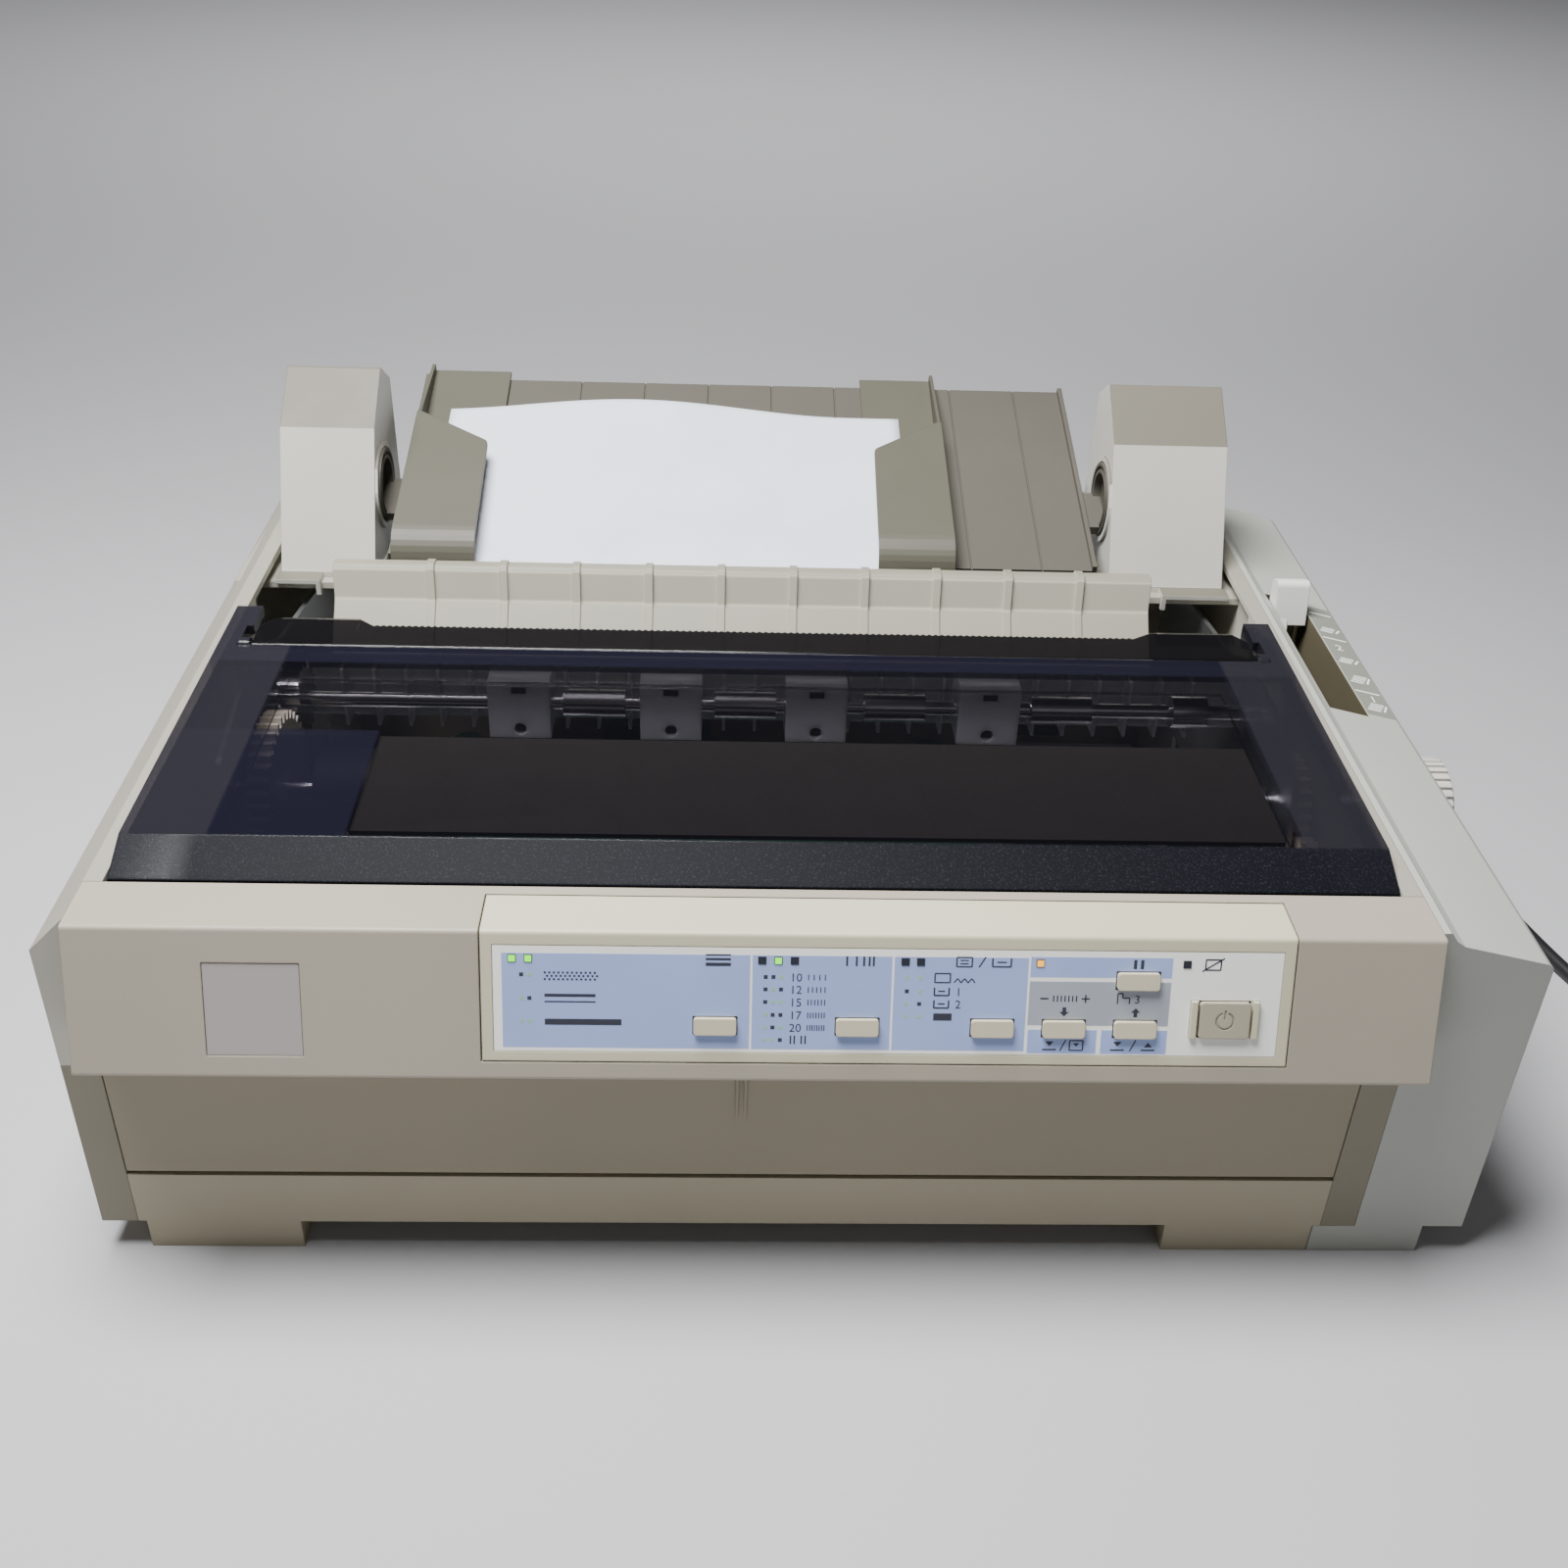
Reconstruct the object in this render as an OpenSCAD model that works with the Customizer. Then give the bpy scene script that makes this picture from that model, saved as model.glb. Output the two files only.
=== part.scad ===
// Dot matrix printer with a hinged cover, a tear-off flap, a front door, a rear sheet
// tray on two hubs, a push tractor and a print mechanism. Millimetres, +Y to the rear.

/* [Case] */
// Width of the main body over its side walls
body_w = 441; // [436:1:450]
// Width of the side pod that carries the knob and the release lever
pod_w = 39; // [38:1:44]
// Depth of the case from its front face to its rear face
case_d = 330; // [328:1:350]
// Height of the side walls at the front, above the floor
wall_h = 131; // [131:0.5:134]
// Height of the bevel between the side walls and the top faces
bevel_h = 12.3; // [11.5:0.1:13]
// Width of the hollow cheek behind each bevel
cheek_w = 12.4; // [12:0.1:13]
// Rise of the top faces towards the rear, in degrees
top_slope = 2.3; // [2.2:0.1:2.6]
// Thickness of the moulded walls
wall = 3; // [2.5:0.1:3.2]
// Height of the foot blocks under the case
foot_h = 12.5; // [10:0.5:14]
// Height of the front sill above the floor
sill_h = 34.8; // [30:0.2:34.8]

/* [Front panel] */
// Length of the leaning face from its lower to its upper edge
face_l = 49.9; // [48:0.1:51]
// Lean of the face from the vertical, in degrees
face_lean = 17.74; // [16:0.1:18]
// Depth of the flat top between the face and the cover
panel_top_d = 22; // [20:0.5:23]
// Width of the control unit
unit_w = 254; // [252:1:258]
// Rim of the control unit on each side of the label
label_rim = 3.8; // [3.4:0.1:4.6]
// Height of the operation label
label_h = 34.8; // [34:0.1:36]
// Width of a key
key_w = 13.4; // [12:0.1:14]
// Height of a key
key_h = 5.6; // [5:0.1:6]
// Stand-out of the keys over the label
key_out = 1.6; // [1.2:0.1:2]
// Side of the power key
power_w = 16; // [14:0.1:16]
// Width of the bare badge plate
badge_w = 29.5; // [28:0.5:31]

/* [Cover] */
// Width of the smoked cover
cover_w = 415; // [412:0.5:416]
// Rise of the cover towards the rear, in degrees
cover_slope = 3; // [2.8:0.1:3.2]
// Thickness of the cover and of its flap
cover_t = 2.5; // [2:0.1:2.8]
// Length of the cover from its front bend to the flap hinge
cover_l = 120; // [118:0.5:122]
// Depth of the tear-off flap
flap_d = 15; // [14:0.5:17]
// Largest opening angle of the cover, in degrees
cover_open = 70; // [40:1:75]

/* [Sheet tray] */
// Width of the sheet tray
tray_w = 306; // [300:1:308]
// Slope of the tray, in degrees
tray_slope = 17.65; // [16:0.1:18]
// Length of the tray behind its hub
tray_back = 89; // [80:1:95]
// Length of the tray in front of its hub
tray_front = 39; // [36:1:40]
// Radius of the tray hubs
hub_r = 16.5; // [15:0.5:17]
// Width of the loaded sheet
sheet_w = 210; // [200:1:212]
// Length of the loaded sheet
sheet_l = 148; // [140:1:150]

/* [Mechanism] */
// Radius of the platen
platen_r = 16; // [15:0.5:16]
// Length of the platen
platen_l = 323; // [310:1:326]
// Radius of the platen shaft
shaft_r = 4; // [3.5:0.1:4.5]
// Radius of the carriage rod
rod_r = 6; // [5:0.1:6.5]
// Width of the print carriage
carriage_w = 50; // [44:1:52]
// Travel of the print carriage
carriage_run = 240; // [200:1:240]
// Gear module
gear_m = 1.5;
// Radial clearance of turning and sliding fits
fit = 0.05; // [0.03:0.01:0.08]
// Radius of the paper feed knob
knob_r = 18.5; // [16:0.5:19]
// Thickness of the paper feed knob
knob_t = 8; // [6:0.5:10]

/* [Cord] */
// Diameter of the mains cord
cord_d = 6.5; // [6:0.1:7]

/* [Hidden] */
$fn = 48;

// ---- outlines -------------------------------------------------------------------

function unit(v) = v / norm(v);

// The arc that rounds corner b between a and c with radius r, as n + 1 points.
function corner_arc(a, b, c, r, n) =
    let (
        u = unit(a - b),
        v = unit(c - b),
        half = acos(u * v) / 2,
        start = b + u * r / tan(half),
        centre = b + unit(u + v) * r / sin(half),
        from = atan2(start[1] - centre[1], start[0] - centre[0]),
        turn = 180 - 2 * half,
        way = u[0] * v[1] - u[1] * v[0] > 0 ? -1 : 1
    )
    [for (i = [0:n]) centre + r * [cos(from + way * turn * i / n), sin(from + way * turn * i / n)]];

// A closed outline from corners [x, y, radius].
function rounded(corners, n = 4) =
    let (k = len(corners))
    [for (i = [0:k - 1])
        let (
            p = corners[i],
            a = corners[(i + k - 1) % k],
            c = corners[(i + 1) % k]
        )
        each (p[2] == 0 ? [[p[0], p[1]]] :
            corner_arc([a[0], a[1]], [p[0], p[1]], [c[0], c[1]], p[2], n))];

function rounded_box(w, h, r) =
    rounded([[-w / 2, -h / 2, r], [w / 2, -h / 2, r], [w / 2, h / 2, r], [-w / 2, h / 2, r]]);

// A profile drawn in Y and Z, extruded along X from x0 to x1.
module across(x0, x1) {
    translate([x0, 0, 0]) rotate([90, 0, 90]) linear_extrude(x1 - x0) children();
}

// A profile drawn in X and Z, extruded along Y from y0 to y1.
module along(y0, y1) {
    translate([0, y1, 0]) rotate([90, 0, 0]) linear_extrude(y1 - y0) children();
}

// A box given by its low and high corners.
module block(low, high) {
    translate(low) cube(high - low);
}

// A round bar along X at [y, z].
module bar_x(x0, x1, at, r) {
    across(x0, x1) translate(at) circle(r);
}

// ---- case datums ----------------------------------------------------------------

far = 400;
x_left = -body_w / 2;
x_right = body_w / 2;
x_pod = x_right + pod_w;
jamb = x_right - cheek_w;
jamb_t = wall;
deck_z = wall_h + 15;
drop_h = 60;

function top_z(y) = wall_h + bevel_h + y * tan(top_slope);

face_set = 3.3;
face_top_z = top_z(-face_set);
face_y = -face_set - face_l * sin(face_lean);
face_z = face_top_z - face_l * cos(face_lean);
shell_t = 2.5;
open_y = panel_top_d - face_set;
open_gap = 0.6;
cover_cx = cheek_w / 2;
cover_x0 = cover_cx - cover_w / 2;
cover_x1 = cover_cx + cover_w / 2;
bend_y = 36.5;
bend_z = top_z(bend_y) + 5.8;
ear_w = 10;
ear_l = 31;
hinge_v = cover_l + 40;
hinge_w = -12.5;
hinge_pin_r = 2.5;

tray_cx = 1;
box_in = tray_w / 2 + 6.5;
left_box_w = 40;
right_box_w = 50;
well_y1 = case_d - 94;
hub_y = case_d - 54;
hub_z = deck_z + 29;
hub_gap = 0.06;
hub_t = 5.5;

motor_room = 30.5;
gear_room = 15.5;
frame_x0 = x_left + motor_room;
frame_x1 = x_right - gear_room;
frame_t = 2;
base_z = 18;
platen_y = 118;
platen_z = 116;
knob_x = x_pod + 0.5;

// Stands a child on the leaning face: X along it, Z up it, -Y out of it.
module on_face(x, s) {
    translate([x, face_y + s * sin(face_lean), face_z + s * cos(face_lean)])
        rotate([-face_lean, 0, 0]) children();
}

// The frame of the cover: origin at its front bend, Y to the rear, Z out of it.
module in_cover() {
    translate([0, bend_y, bend_z]) rotate([cover_slope, 0, 0]) children();
}

// The frame of the sheet tray: origin on the hub axis, Y up the slope.
module in_tray() {
    translate([0, hub_y, hub_z]) rotate([tray_slope, 0, 0]) children();
}

// ---- case -----------------------------------------------------------------------

// Cross section of the main body, less `inset` on every side.
module body_section(inset) {
    polygon([
        [x_left + inset, -far],
        [x_left + inset, wall_h - inset * 0.41],
        [x_left + cheek_w + inset * 0.41, wall_h + bevel_h - inset],
        [x_right - inset, wall_h + bevel_h - inset],
        [x_right - inset, -far]
    ]);
}

// Keeps what lies between the foot line and the case's front and rear.
module in_case_length(inset) {
    intersection() {
        rotate([top_slope, 0, 0]) along(-far / 4, case_d + far / 4) children();
        across(-far, far)
            polygon(rounded([[inset, foot_h - (inset > 0 ? 1 : 0), 0], [inset, far, 0],
                [case_d - inset, far, 0], [case_d - inset, foot_h - (inset > 0 ? 1 : 0), 0]]));
    }
}

slot_x0 = x_right + 8.5;
slot_x1 = slot_x0 + 16;
slot_y0 = 144;
slot_y1 = 238;
rear_open_z = wall_h - 13;

// Hollow housing: side walls, bevelled cheeks, rear deck beside the sheet tray.
module upper_case() {
    color("gainsboro") {
        difference() {
            union() {
                difference() {
                    in_case_length(0) body_section(0);
                    in_case_length(wall) body_section(wall);
                }
                for (side = [-1, 1]) {
                    cheek_jamb(side);
                    hinge_bracket(side);
                }
                deck(x_left + wall, tray_cx - tray_w / 2 - 5.5);
                deck(tray_cx + tray_w / 2 + 5.5, x_right - wall);
            }
            // front bay for the door and the panel
            block([-jamb, -1, 0], [jamb, wall + 1, face_z + 4]);
            block([-jamb, -5, face_z + 4], [x_right + 1, open_y, far]);
            // cover opening and tray well
            block([cover_x0 - open_gap, open_y - 1, deck_z],
                [cover_x1 + open_gap, case_d - wall - 1, far]);
            block([cover_x0 - open_gap, open_y - 1, drop_h],
                [cover_x1 + open_gap, well_y1, deck_z + 1]);
            block([tray_cx - tray_w / 2 - 5.5, well_y1 - 1, rear_open_z],
                [tray_cx + tray_w / 2 + 5.5, case_d + 1, far]);
            // lower rear bay for the sockets
            block([-jamb, case_d - wall - 1, 0], [jamb, case_d + 1, drop_h - 2]);
            // shaft and rear ventilation
            bar_x(x_right - wall - 1, x_right + 1, [platen_y, platen_z], shaft_r + 1);
            for (i = [0:9])
                block([-155 + 14 * i, case_d - wall - 1, 72], [-150 + 14 * i, case_d + 1, 100]);
            // door pivots
            for (side = [-1, 1])
                bar_x(side * (jamb + jamb_t / 2) - jamb_t, side * (jamb + jamb_t / 2) + jamb_t,
                    [pivot_y, pivot_z], pivot_r + fit);
            in_cover() for (side = [0, 1])
                bar_x(side ? cover_x1 - 1 : cover_x0 - 4, side ? cover_x1 + 4 : cover_x0 + 1,
                    [hinge_v, hinge_w], hinge_pin_r + fit);
        }
    }
}

module cheek_jamb(side) {
    x = side < 0 ? -jamb - jamb_t : jamb;
    block([x, 0, foot_h], [x + jamb_t, wall, face_z + 4]);
    block([x, 0, foot_h + wall + 0.3], [x + jamb_t, 7, face_z + 4]);
}

bracket_t = 2.6;

module hinge_bracket(side) {
    x = side < 0 ? cover_x0 - open_gap - bracket_t : cover_x1 + open_gap;
    block([x, 182, wall_h - 4], [x + bracket_t, 212, top_z(182) - wall / 2]);
}

module deck(x0, x1) {
    block([x0, well_y1, deck_z - wall], [x1, case_d - wall / 2, deck_z]);
}

pivot_r = 1.4;
pivot_y = 2.4;
pivot_z = sill_h + 2.8;
pan_gap = 0.4;
foot_w = 53;
foot_d = 34;
seam_x = jamb - 2.9;

// Bottom pan with the front sill, the foot blocks and the lower rear wall.
module lower_case() {
    pan_x = x_right - wall - pan_gap;
    color("wheat") {
        difference() {
            union() {
                block([-pan_x, wall + pan_gap, foot_h], [pan_x, case_d - wall - pan_gap, foot_h + wall]);
                block([-jamb + 0.1, 0, foot_h], [jamb - 0.1, wall, sill_h]);
                block([-jamb + 4, wall - 0.1, foot_h], [jamb - 4, wall + 1, foot_h + wall]);
                block([-jamb + 0.3, case_d - wall, foot_h], [jamb - 0.3, case_d, drop_h - 2.3]);
                block([-jamb + 0.3, case_d - wall - 1, foot_h],
                    [jamb - 0.3, case_d - wall + 0.1, foot_h + wall]);
                for (x = [-120, -60, 0, 60, 120])
                    block([x - 1, wall - 0.1, foot_h + wall - 0.1], [x + 1, wall + 8, sill_h - 6]);
                for (y = [0, case_d - foot_d])
                    for (x = [-seam_x, seam_x - foot_w])
                        block([x, y, 0], [x + foot_w, y + foot_d, foot_h + 0.1]);
                for (x = [-170, 0, 185])
                    for (y = [30, 280])
                        translate([x, y, foot_h]) cylinder(r = 6, h = base_z - foot_h);
            }
            for (y = [0, case_d - foot_d])
                for (x = [-seam_x, seam_x - foot_w])
                    block([x + 3, y + 3, -1], [x + foot_w - 3, y + foot_d - 3, foot_h - 2]);
            translate([inlet_x, 0, inlet_z]) along(case_d - wall - 1, case_d + 1)
                polygon(rounded_box(27.4, 19.8, 2));
            block([-70, case_d - wall - 1, 34], [-10, case_d + 1, 50]);
            for (i = [0:11])
                block([-110 + 18 * i, 120, foot_h - 1], [-104 + 18 * i, 180, foot_h + wall + 1]);
        }
    }
}

// Moulded side pod: lever slot with its pocket, knob shaft hole, own foot block.
module right_pod() {
    ridge = wall_h + bevel_h;
    color("gainsboro") {
        difference() {
            union() {
                difference() {
                    pod_length(0) pod_section(0, ridge);
                    pod_length(wall) pod_section(wall, ridge);
                }
                intersection() {
                    block([slot_x0 - 1.5, slot_y0 - 1.5, wall_h - 30],
                        [slot_x1 + 1.5, slot_y1 + 1.5, far]);
                    pod_length(1) pod_section(1, ridge);
                }
                bar_x(slot_x0 - 1, x_pod - wall + 0.1, [lever_y, lever_z], lever_pin_r);
                block([x_right + 0.1, 0, foot_h], [x_pod - 0.1, case_d, foot_h + wall]);
                block([seam_x + 0.3, 0, 0], [seam_x + 40, foot_d, foot_h]);
                for (y = [0, case_d - foot_d])
                    block([x_right + 0.1, y, 0], [seam_x + 40, y + foot_d, foot_h + 0.1]);
            }
            block([slot_x0, slot_y0, wall_h - 31], [slot_x1, slot_y1, far]);
            bar_x(x_pod - wall - 1, x_pod + 1, [platen_y, platen_z], shaft_r + 1);
            for (y = [0, case_d - foot_d])
                block([max(seam_x, x_right + (y > 0 ? 0 : -60)) + 3, y + 3, -1],
                    [seam_x + 37, y + foot_d - 3, foot_h - 2]);
        }
    }
}

module pod_section(inset, ridge) {
    polygon([
        [x_right + 0.1 + (inset > 0 ? -5 : 0), -far],
        [x_right + 0.1 + (inset > 0 ? -5 : 0), ridge - inset],
        [x_right + 2.5, ridge - inset],
        [x_right + 5, ridge - 3.2 - inset],
        [x_right + 8, ridge - 5.2 - inset],
        [x_pod - 2 - inset, wall_h + 0.3 - inset],
        [x_pod - inset, wall_h - 1.4 - inset],
        [x_pod - inset, -far]
    ]);
}

module pod_length(inset) {
    intersection() {
        rotate([top_slope, 0, 0]) along(-far / 4, case_d + far / 4) children();
        block([0, inset, foot_h - inset], [far, case_d - inset, far]);
    }
}

// ---- front panel ----------------------------------------------------------------

// Side profile of the panel shell as a closed outline.
function panel_outline(inset) = rounded([
    [open_y, top_z(open_y) - inset, 0],
    [-face_set + inset * tan(face_lean / 2) + inset * 0.7, face_top_z - inset, inset > 0 ? 0.5 : 1.6],
    [face_y + inset * 1.2, face_z + inset, inset > 0 ? 0.5 : 1],
    [-0.4, face_z + 1.8 + inset, 0],
    [-0.4, face_z + 4, 0],
    [open_y, face_z + 4, 0]
]);

unit_cx = 46;
unit_x0 = unit_cx - unit_w / 2;
unit_x1 = unit_cx + unit_w / 2;
unit_s0 = 7;
unit_s1 = face_l;
unit_top_d = panel_top_d - 4.5;
unit_depth = 8;
unit_gap = 0.5;
label_s = 10.4;
label_w = unit_w - 2 * label_rim;
label_x0 = unit_x0 + label_rim;
label_t = 0.4;

module front_panel() {
    color("lightgray") difference() {
        union() {
            difference() {
                across(-jamb, x_right) polygon(panel_outline(0));
                across(-jamb + shell_t, x_right - shell_t) polygon(panel_shell_inner());
            }
            on_face(-151.2, 8) panel_badge_seat();
        }
        // seat of the control unit
        across(unit_x0 - unit_gap, unit_x1 + unit_gap) unit_profile(unit_gap);
        on_face(-151.2, 23.2) block([-badge_w / 2 - 0.2, -1, -15.4], [badge_w / 2 + 0.2, 0.9, 15.4]);
    }
}

module panel_badge_seat() {
    block([-badge_w / 2 - 2, 0.5, -1], [badge_w / 2 + 2, shell_t + 1, 32]);
}

function panel_shell_inner() = [
    [open_y + 5, top_z(open_y) - shell_t],
    [-face_set + shell_t * 0.73, face_top_z - shell_t],
    [face_y + shell_t * 1.45, face_z + shell_t + 0.4],
    [-0.4 - shell_t, face_z + shell_t + 1.9],
    [-0.4 - shell_t, face_z + 4 + shell_t],
    [open_y + 5, face_z + 4 + shell_t]
];

// Side view of the space that the control unit takes, widened by a gap.
module unit_profile(gap) {
    translate([face_y, face_z]) rotate(-face_lean)
        translate([-2, unit_s0 - gap]) square([unit_depth + 2, face_l - unit_s0 + 8]);
    translate([-face_set - 1, face_top_z - 12]) square([unit_top_d + 1 + gap, 22]);
}

// Shell that fills the seat, with a shallow recess for the label.
module control_unit() {
    color("beige") difference() {
        union() {
            across(unit_x0, unit_x1) intersection() {
                difference() {
                    polygon(panel_outline(0));
                    polygon(panel_shell_inner());
                }
                unit_profile(0);
            }
            for (x = [unit_x0, unit_x1 - shell_t])
                across(x, x + shell_t) intersection() {
                    polygon(panel_outline(0));
                    unit_profile(0);
                }
            on_face(0, 0) {
                for (side = [-1, 1])
                    translate([power_at[0] + side * (power_w / 2 + 1.8), 0, power_at[1]])
                        block([-1, -1.4, -6.2], [1, 2, 6.2]);
            }
        }
        on_face(0, 0) {
            difference() {
                block([label_x0 - 0.2, -1, label_s - 0.2],
                    [label_x0 + label_w + 0.2, label_t, label_s + label_h + 0.2]);
                for (side = [-1, 1])
                    translate([power_at[0] + side * (power_w / 2 + 1.8), 0, power_at[1]])
                        block([-1, -3, -6.2], [1, 3, 6.2]);
            }
            for (k = keys) key_hole(k, key_w, key_h);
            key_hole(power_at, power_w, power_h);
            for (led = leds)
                block([led[0] - led_w / 2 - 0.1, -1, led[1] - led_w / 2 - 0.1],
                    [led[0] + led_w / 2 + 0.1, 6, led[1] + led_w / 2 + 0.1]);
        }
    }
}

key_gap = 0.35;
power_h = 12;
led_w = 2.4;
led_row = 41.1;
low_row = 19.4;

function on_label(share) = label_x0 + share * label_w;

power_at = [on_label(0.9294), 22.9];
leds = [for (share = [0.0239, 0.0442, 0.3373, 0.3576, 0.3782, 0.5179, 0.5373, 0.6891, 0.8766])
    [on_label(share), led_row]];
keys = concat([for (share = [0.2788, 0.4594, 0.6319, 0.7236, 0.8153]) [on_label(share), low_row]],
    [[on_label(0.8153), 35.6]]);

module key_hole(at, w, h) {
    translate([at[0], 0, at[1]]) block([-w / 2 - key_gap, -3, -h / 2 - key_gap],
        [w / 2 + key_gap, 8, h / 2 + key_gap]);
}

// Printed sheet that lies in the recess, pierced for the keys and the lights.
module panel_label() {
    color("lightsteelblue") on_face(0, 0) difference() {
        block([label_x0, 0, label_s], [label_x0 + label_w, label_t, label_s + label_h]);
        for (k = keys) key_hole(k, key_w, key_h);
        key_hole(power_at, power_w, power_h);
        for (side = [-1, 1])
            translate([power_at[0] + side * (power_w / 2 + 1.8), 0, power_at[1]])
                block([-1.2, -3, -6.4], [1.2, 3, 6.4]);
        for (led = leds)
            block([led[0] - led_w / 2 - 0.1, -1, led[1] - led_w / 2 - 0.1],
                [led[0] + led_w / 2 + 0.1, 6, led[1] + led_w / 2 + 0.1]);
    }
}

module indicator_leds() {
    color("limegreen") on_face(0, 0) for (led = leds)
        block([led[0] - led_w / 2, -0.2, led[1] - led_w / 2], [led[0] + led_w / 2, 5, led[1] + led_w / 2]);
}

module badge_plate() {
    color("silver") on_face(-151.2, 23.2)
        block([-badge_w / 2, 0.2, -15.2], [badge_w / 2, 0.9, 15.2]);
}

// A key: rounded cap, stem and a collar that stops it behind the panel.
module key(at, w, h, r) {
    color("beige") on_face(at[0], at[1]) {
        along(-key_out, 3) polygon(rounded_box(w, h, r));
        along(2.9, 4.1) polygon(rounded_box(w + 2, h + 2, r));
        block([-2, 4, -1.5], [2, 6.2, 1.5]);
    }
}

module mode_key() {
    key(keys[0], key_w, key_h, 1);
}

module pitch_key() {
    key(keys[1], key_w, key_h, 1);
}

module tear_key() {
    key(keys[2], key_w, key_h, 1);
}

module feed_key() {
    key(keys[3], key_w, key_h, 1);
}

module load_key() {
    key(keys[4], key_w, key_h, 1);
}

module pause_key() {
    key(keys[5], key_w, key_h, 1);
}

module power_key() {
    color("beige") on_face(power_at[0], power_at[1]) {
        difference() {
            along(-key_out, 3) polygon(rounded_box(power_w, power_h, 1));
            along(-key_out - 1, -key_out + 0.3) difference() {
                circle(3);
                circle(2.4);
                translate([-0.9, 1]) square([1.8, 3]);
            }
            block([-0.3, -key_out - 1, 0.4], [0.3, -key_out + 0.3, 3.6]);
        }
        along(2.9, 4.1) polygon(rounded_box(power_w + 2, power_h + 2, 1));
        block([-3, 4, -2], [3, 6.2, 2]);
    }
}

// ---- front door -----------------------------------------------------------------

door_top = face_z - 2.8;

module front_door() {
    color("wheat") {
        union() {
            union() {
                across(-jamb + 0.4, jamb - 0.4) polygon(rounded([
                    [0, pivot_z, 0], [0, door_top, 0.8], [wall, door_top, 0.8], [wall, pivot_z, 0]]));
                bar_x(-jamb + 0.4, jamb - 0.4, [pivot_y, pivot_z], pivot_y);
                for (x = [-180:60:180])
                    across(x - 1, x + 1)
                        polygon([[wall - 0.1, pivot_z + 4], [wall + 3, pivot_z + 8],
                            [wall + 3, door_top - 12], [wall - 0.1, door_top - 6]]);
            }
        }
        for (x = [-0.9, 1.9])
            across(x - 0.5, x + 0.5)
                polygon([[-0.8, door_top - 16], [0.1, door_top - 34], [0.1, door_top - 1], [-0.8, door_top - 1]]);
        for (side = [-1, 1])
            bar_x(side < 0 ? -jamb - jamb_t + 0.5 : jamb - 1, side < 0 ? -jamb + 1 : jamb + jamb_t - 0.5,
                [pivot_y, pivot_z], pivot_r);
    }
}

// ---- cover and tear-off flap ----------------------------------------------------

flap_pin_w = -1.6;
flap_gap = 1;
tooth_pitch = 2.5;

module printer_cover() {
    skirt_h = 9;
    front_drop = 6.4;
    color("midnightblue", 0.75) in_cover() {
        difference() {
            across(cover_x0, cover_x1) polygon(rounded([
                [-16, -front_drop - 3, 0], [-16, -front_drop, 0.6], [-14.4, -front_drop + 0.8, 0],
                [0, 0, 1.5], [cover_l, 0, 0], [cover_l, -skirt_h, 0]]));
            across(cover_x0 + 2, cover_x1 - 2) polygon([
                [-14.2, -front_drop - 4], [-14.2, -front_drop - 1.2], [0.4, -cover_t],
                [cover_l + 1, -cover_t], [cover_l + 1, -skirt_h - 1], [cover_l + 1, -skirt_h - 9],
                [-14.2, -skirt_h - 9]]);
        }
        cover_ear(cover_x0);
        cover_ear(cover_x1 - ear_w);
        // frame ribs round the window, under the top face
        window_rib(cover_x0 + 30, cover_x0 + 31.2, 3, cover_l - 19);
        window_rib(cover_x1 - 31.2, cover_x1 - 30, 3, cover_l - 19);
        window_rib(cover_x0 + 30, cover_x1 - 30, cover_l - 20.2, cover_l - 19);
        for (side = [-1, 1]) {
            x = side < 0 ? cover_x0 + ear_w - 2 : cover_x1 - ear_w - 2;
            difference() {
                bar_x(x, x + 4, [cover_l + 2, flap_pin_w], 3.4);
                bar_x(x - 1, x + 5, [cover_l + 2, flap_pin_w], 1.5 + fit);
            }
        }
    }
}

module window_rib(x0, x1, v0, v1) {
    block([x0, v0, -cover_t - 1.5], [x1, v1, -cover_t + 0.1]);
}

// Ear with the arm and the pin that the whole cover turns on.
module cover_ear(x) {
    inner = x < 0 ? x + 1 : x + ear_w - 5;
    difference() {
        union() {
            across(x, x + ear_w) polygon(rounded([
                [cover_l - 0.1, 0, 0], [cover_l + ear_l, 0, 1], [cover_l + ear_l, -4, 0], [cover_l - 0.1, -4, 0]]));
            across(inner, inner + 4) {
                polygon([[cover_l + 6, -3], [cover_l + ear_l - 1, -3], [hinge_v + 4, hinge_w + 2],
                    [hinge_v - 3, hinge_w - 3]]);
                translate([hinge_v, hinge_w]) circle(4.5);
            }
            bar_x(x < 0 ? x - 2.8 : inner, x < 0 ? inner + 4 : x + ear_w + 2.8, [hinge_v, hinge_w], hinge_pin_r);
        }
        bar_x(x + (x < 0 ? ear_w - 3 : -1), x + (x < 0 ? ear_w + 1 : 3), [cover_l + 2, flap_pin_w], 3.6);
        across(x < 0 ? x + ear_w - 2.4 : x - 1, x < 0 ? x + ear_w + 1 : x + 2.4)
            polygon([[cover_l + 1, -9], [cover_l + flap_d, -9], [cover_l + flap_d, 1], [cover_l + 1, 1]]);
    }
}

// Sound pad under the front of the window.
module cover_pad() {
    color("#24221f") in_cover()
        block([cover_x0 + 72, 6, -cover_t - 1.6], [cover_x1 - 32.4, 62, -cover_t]);
}

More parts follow.
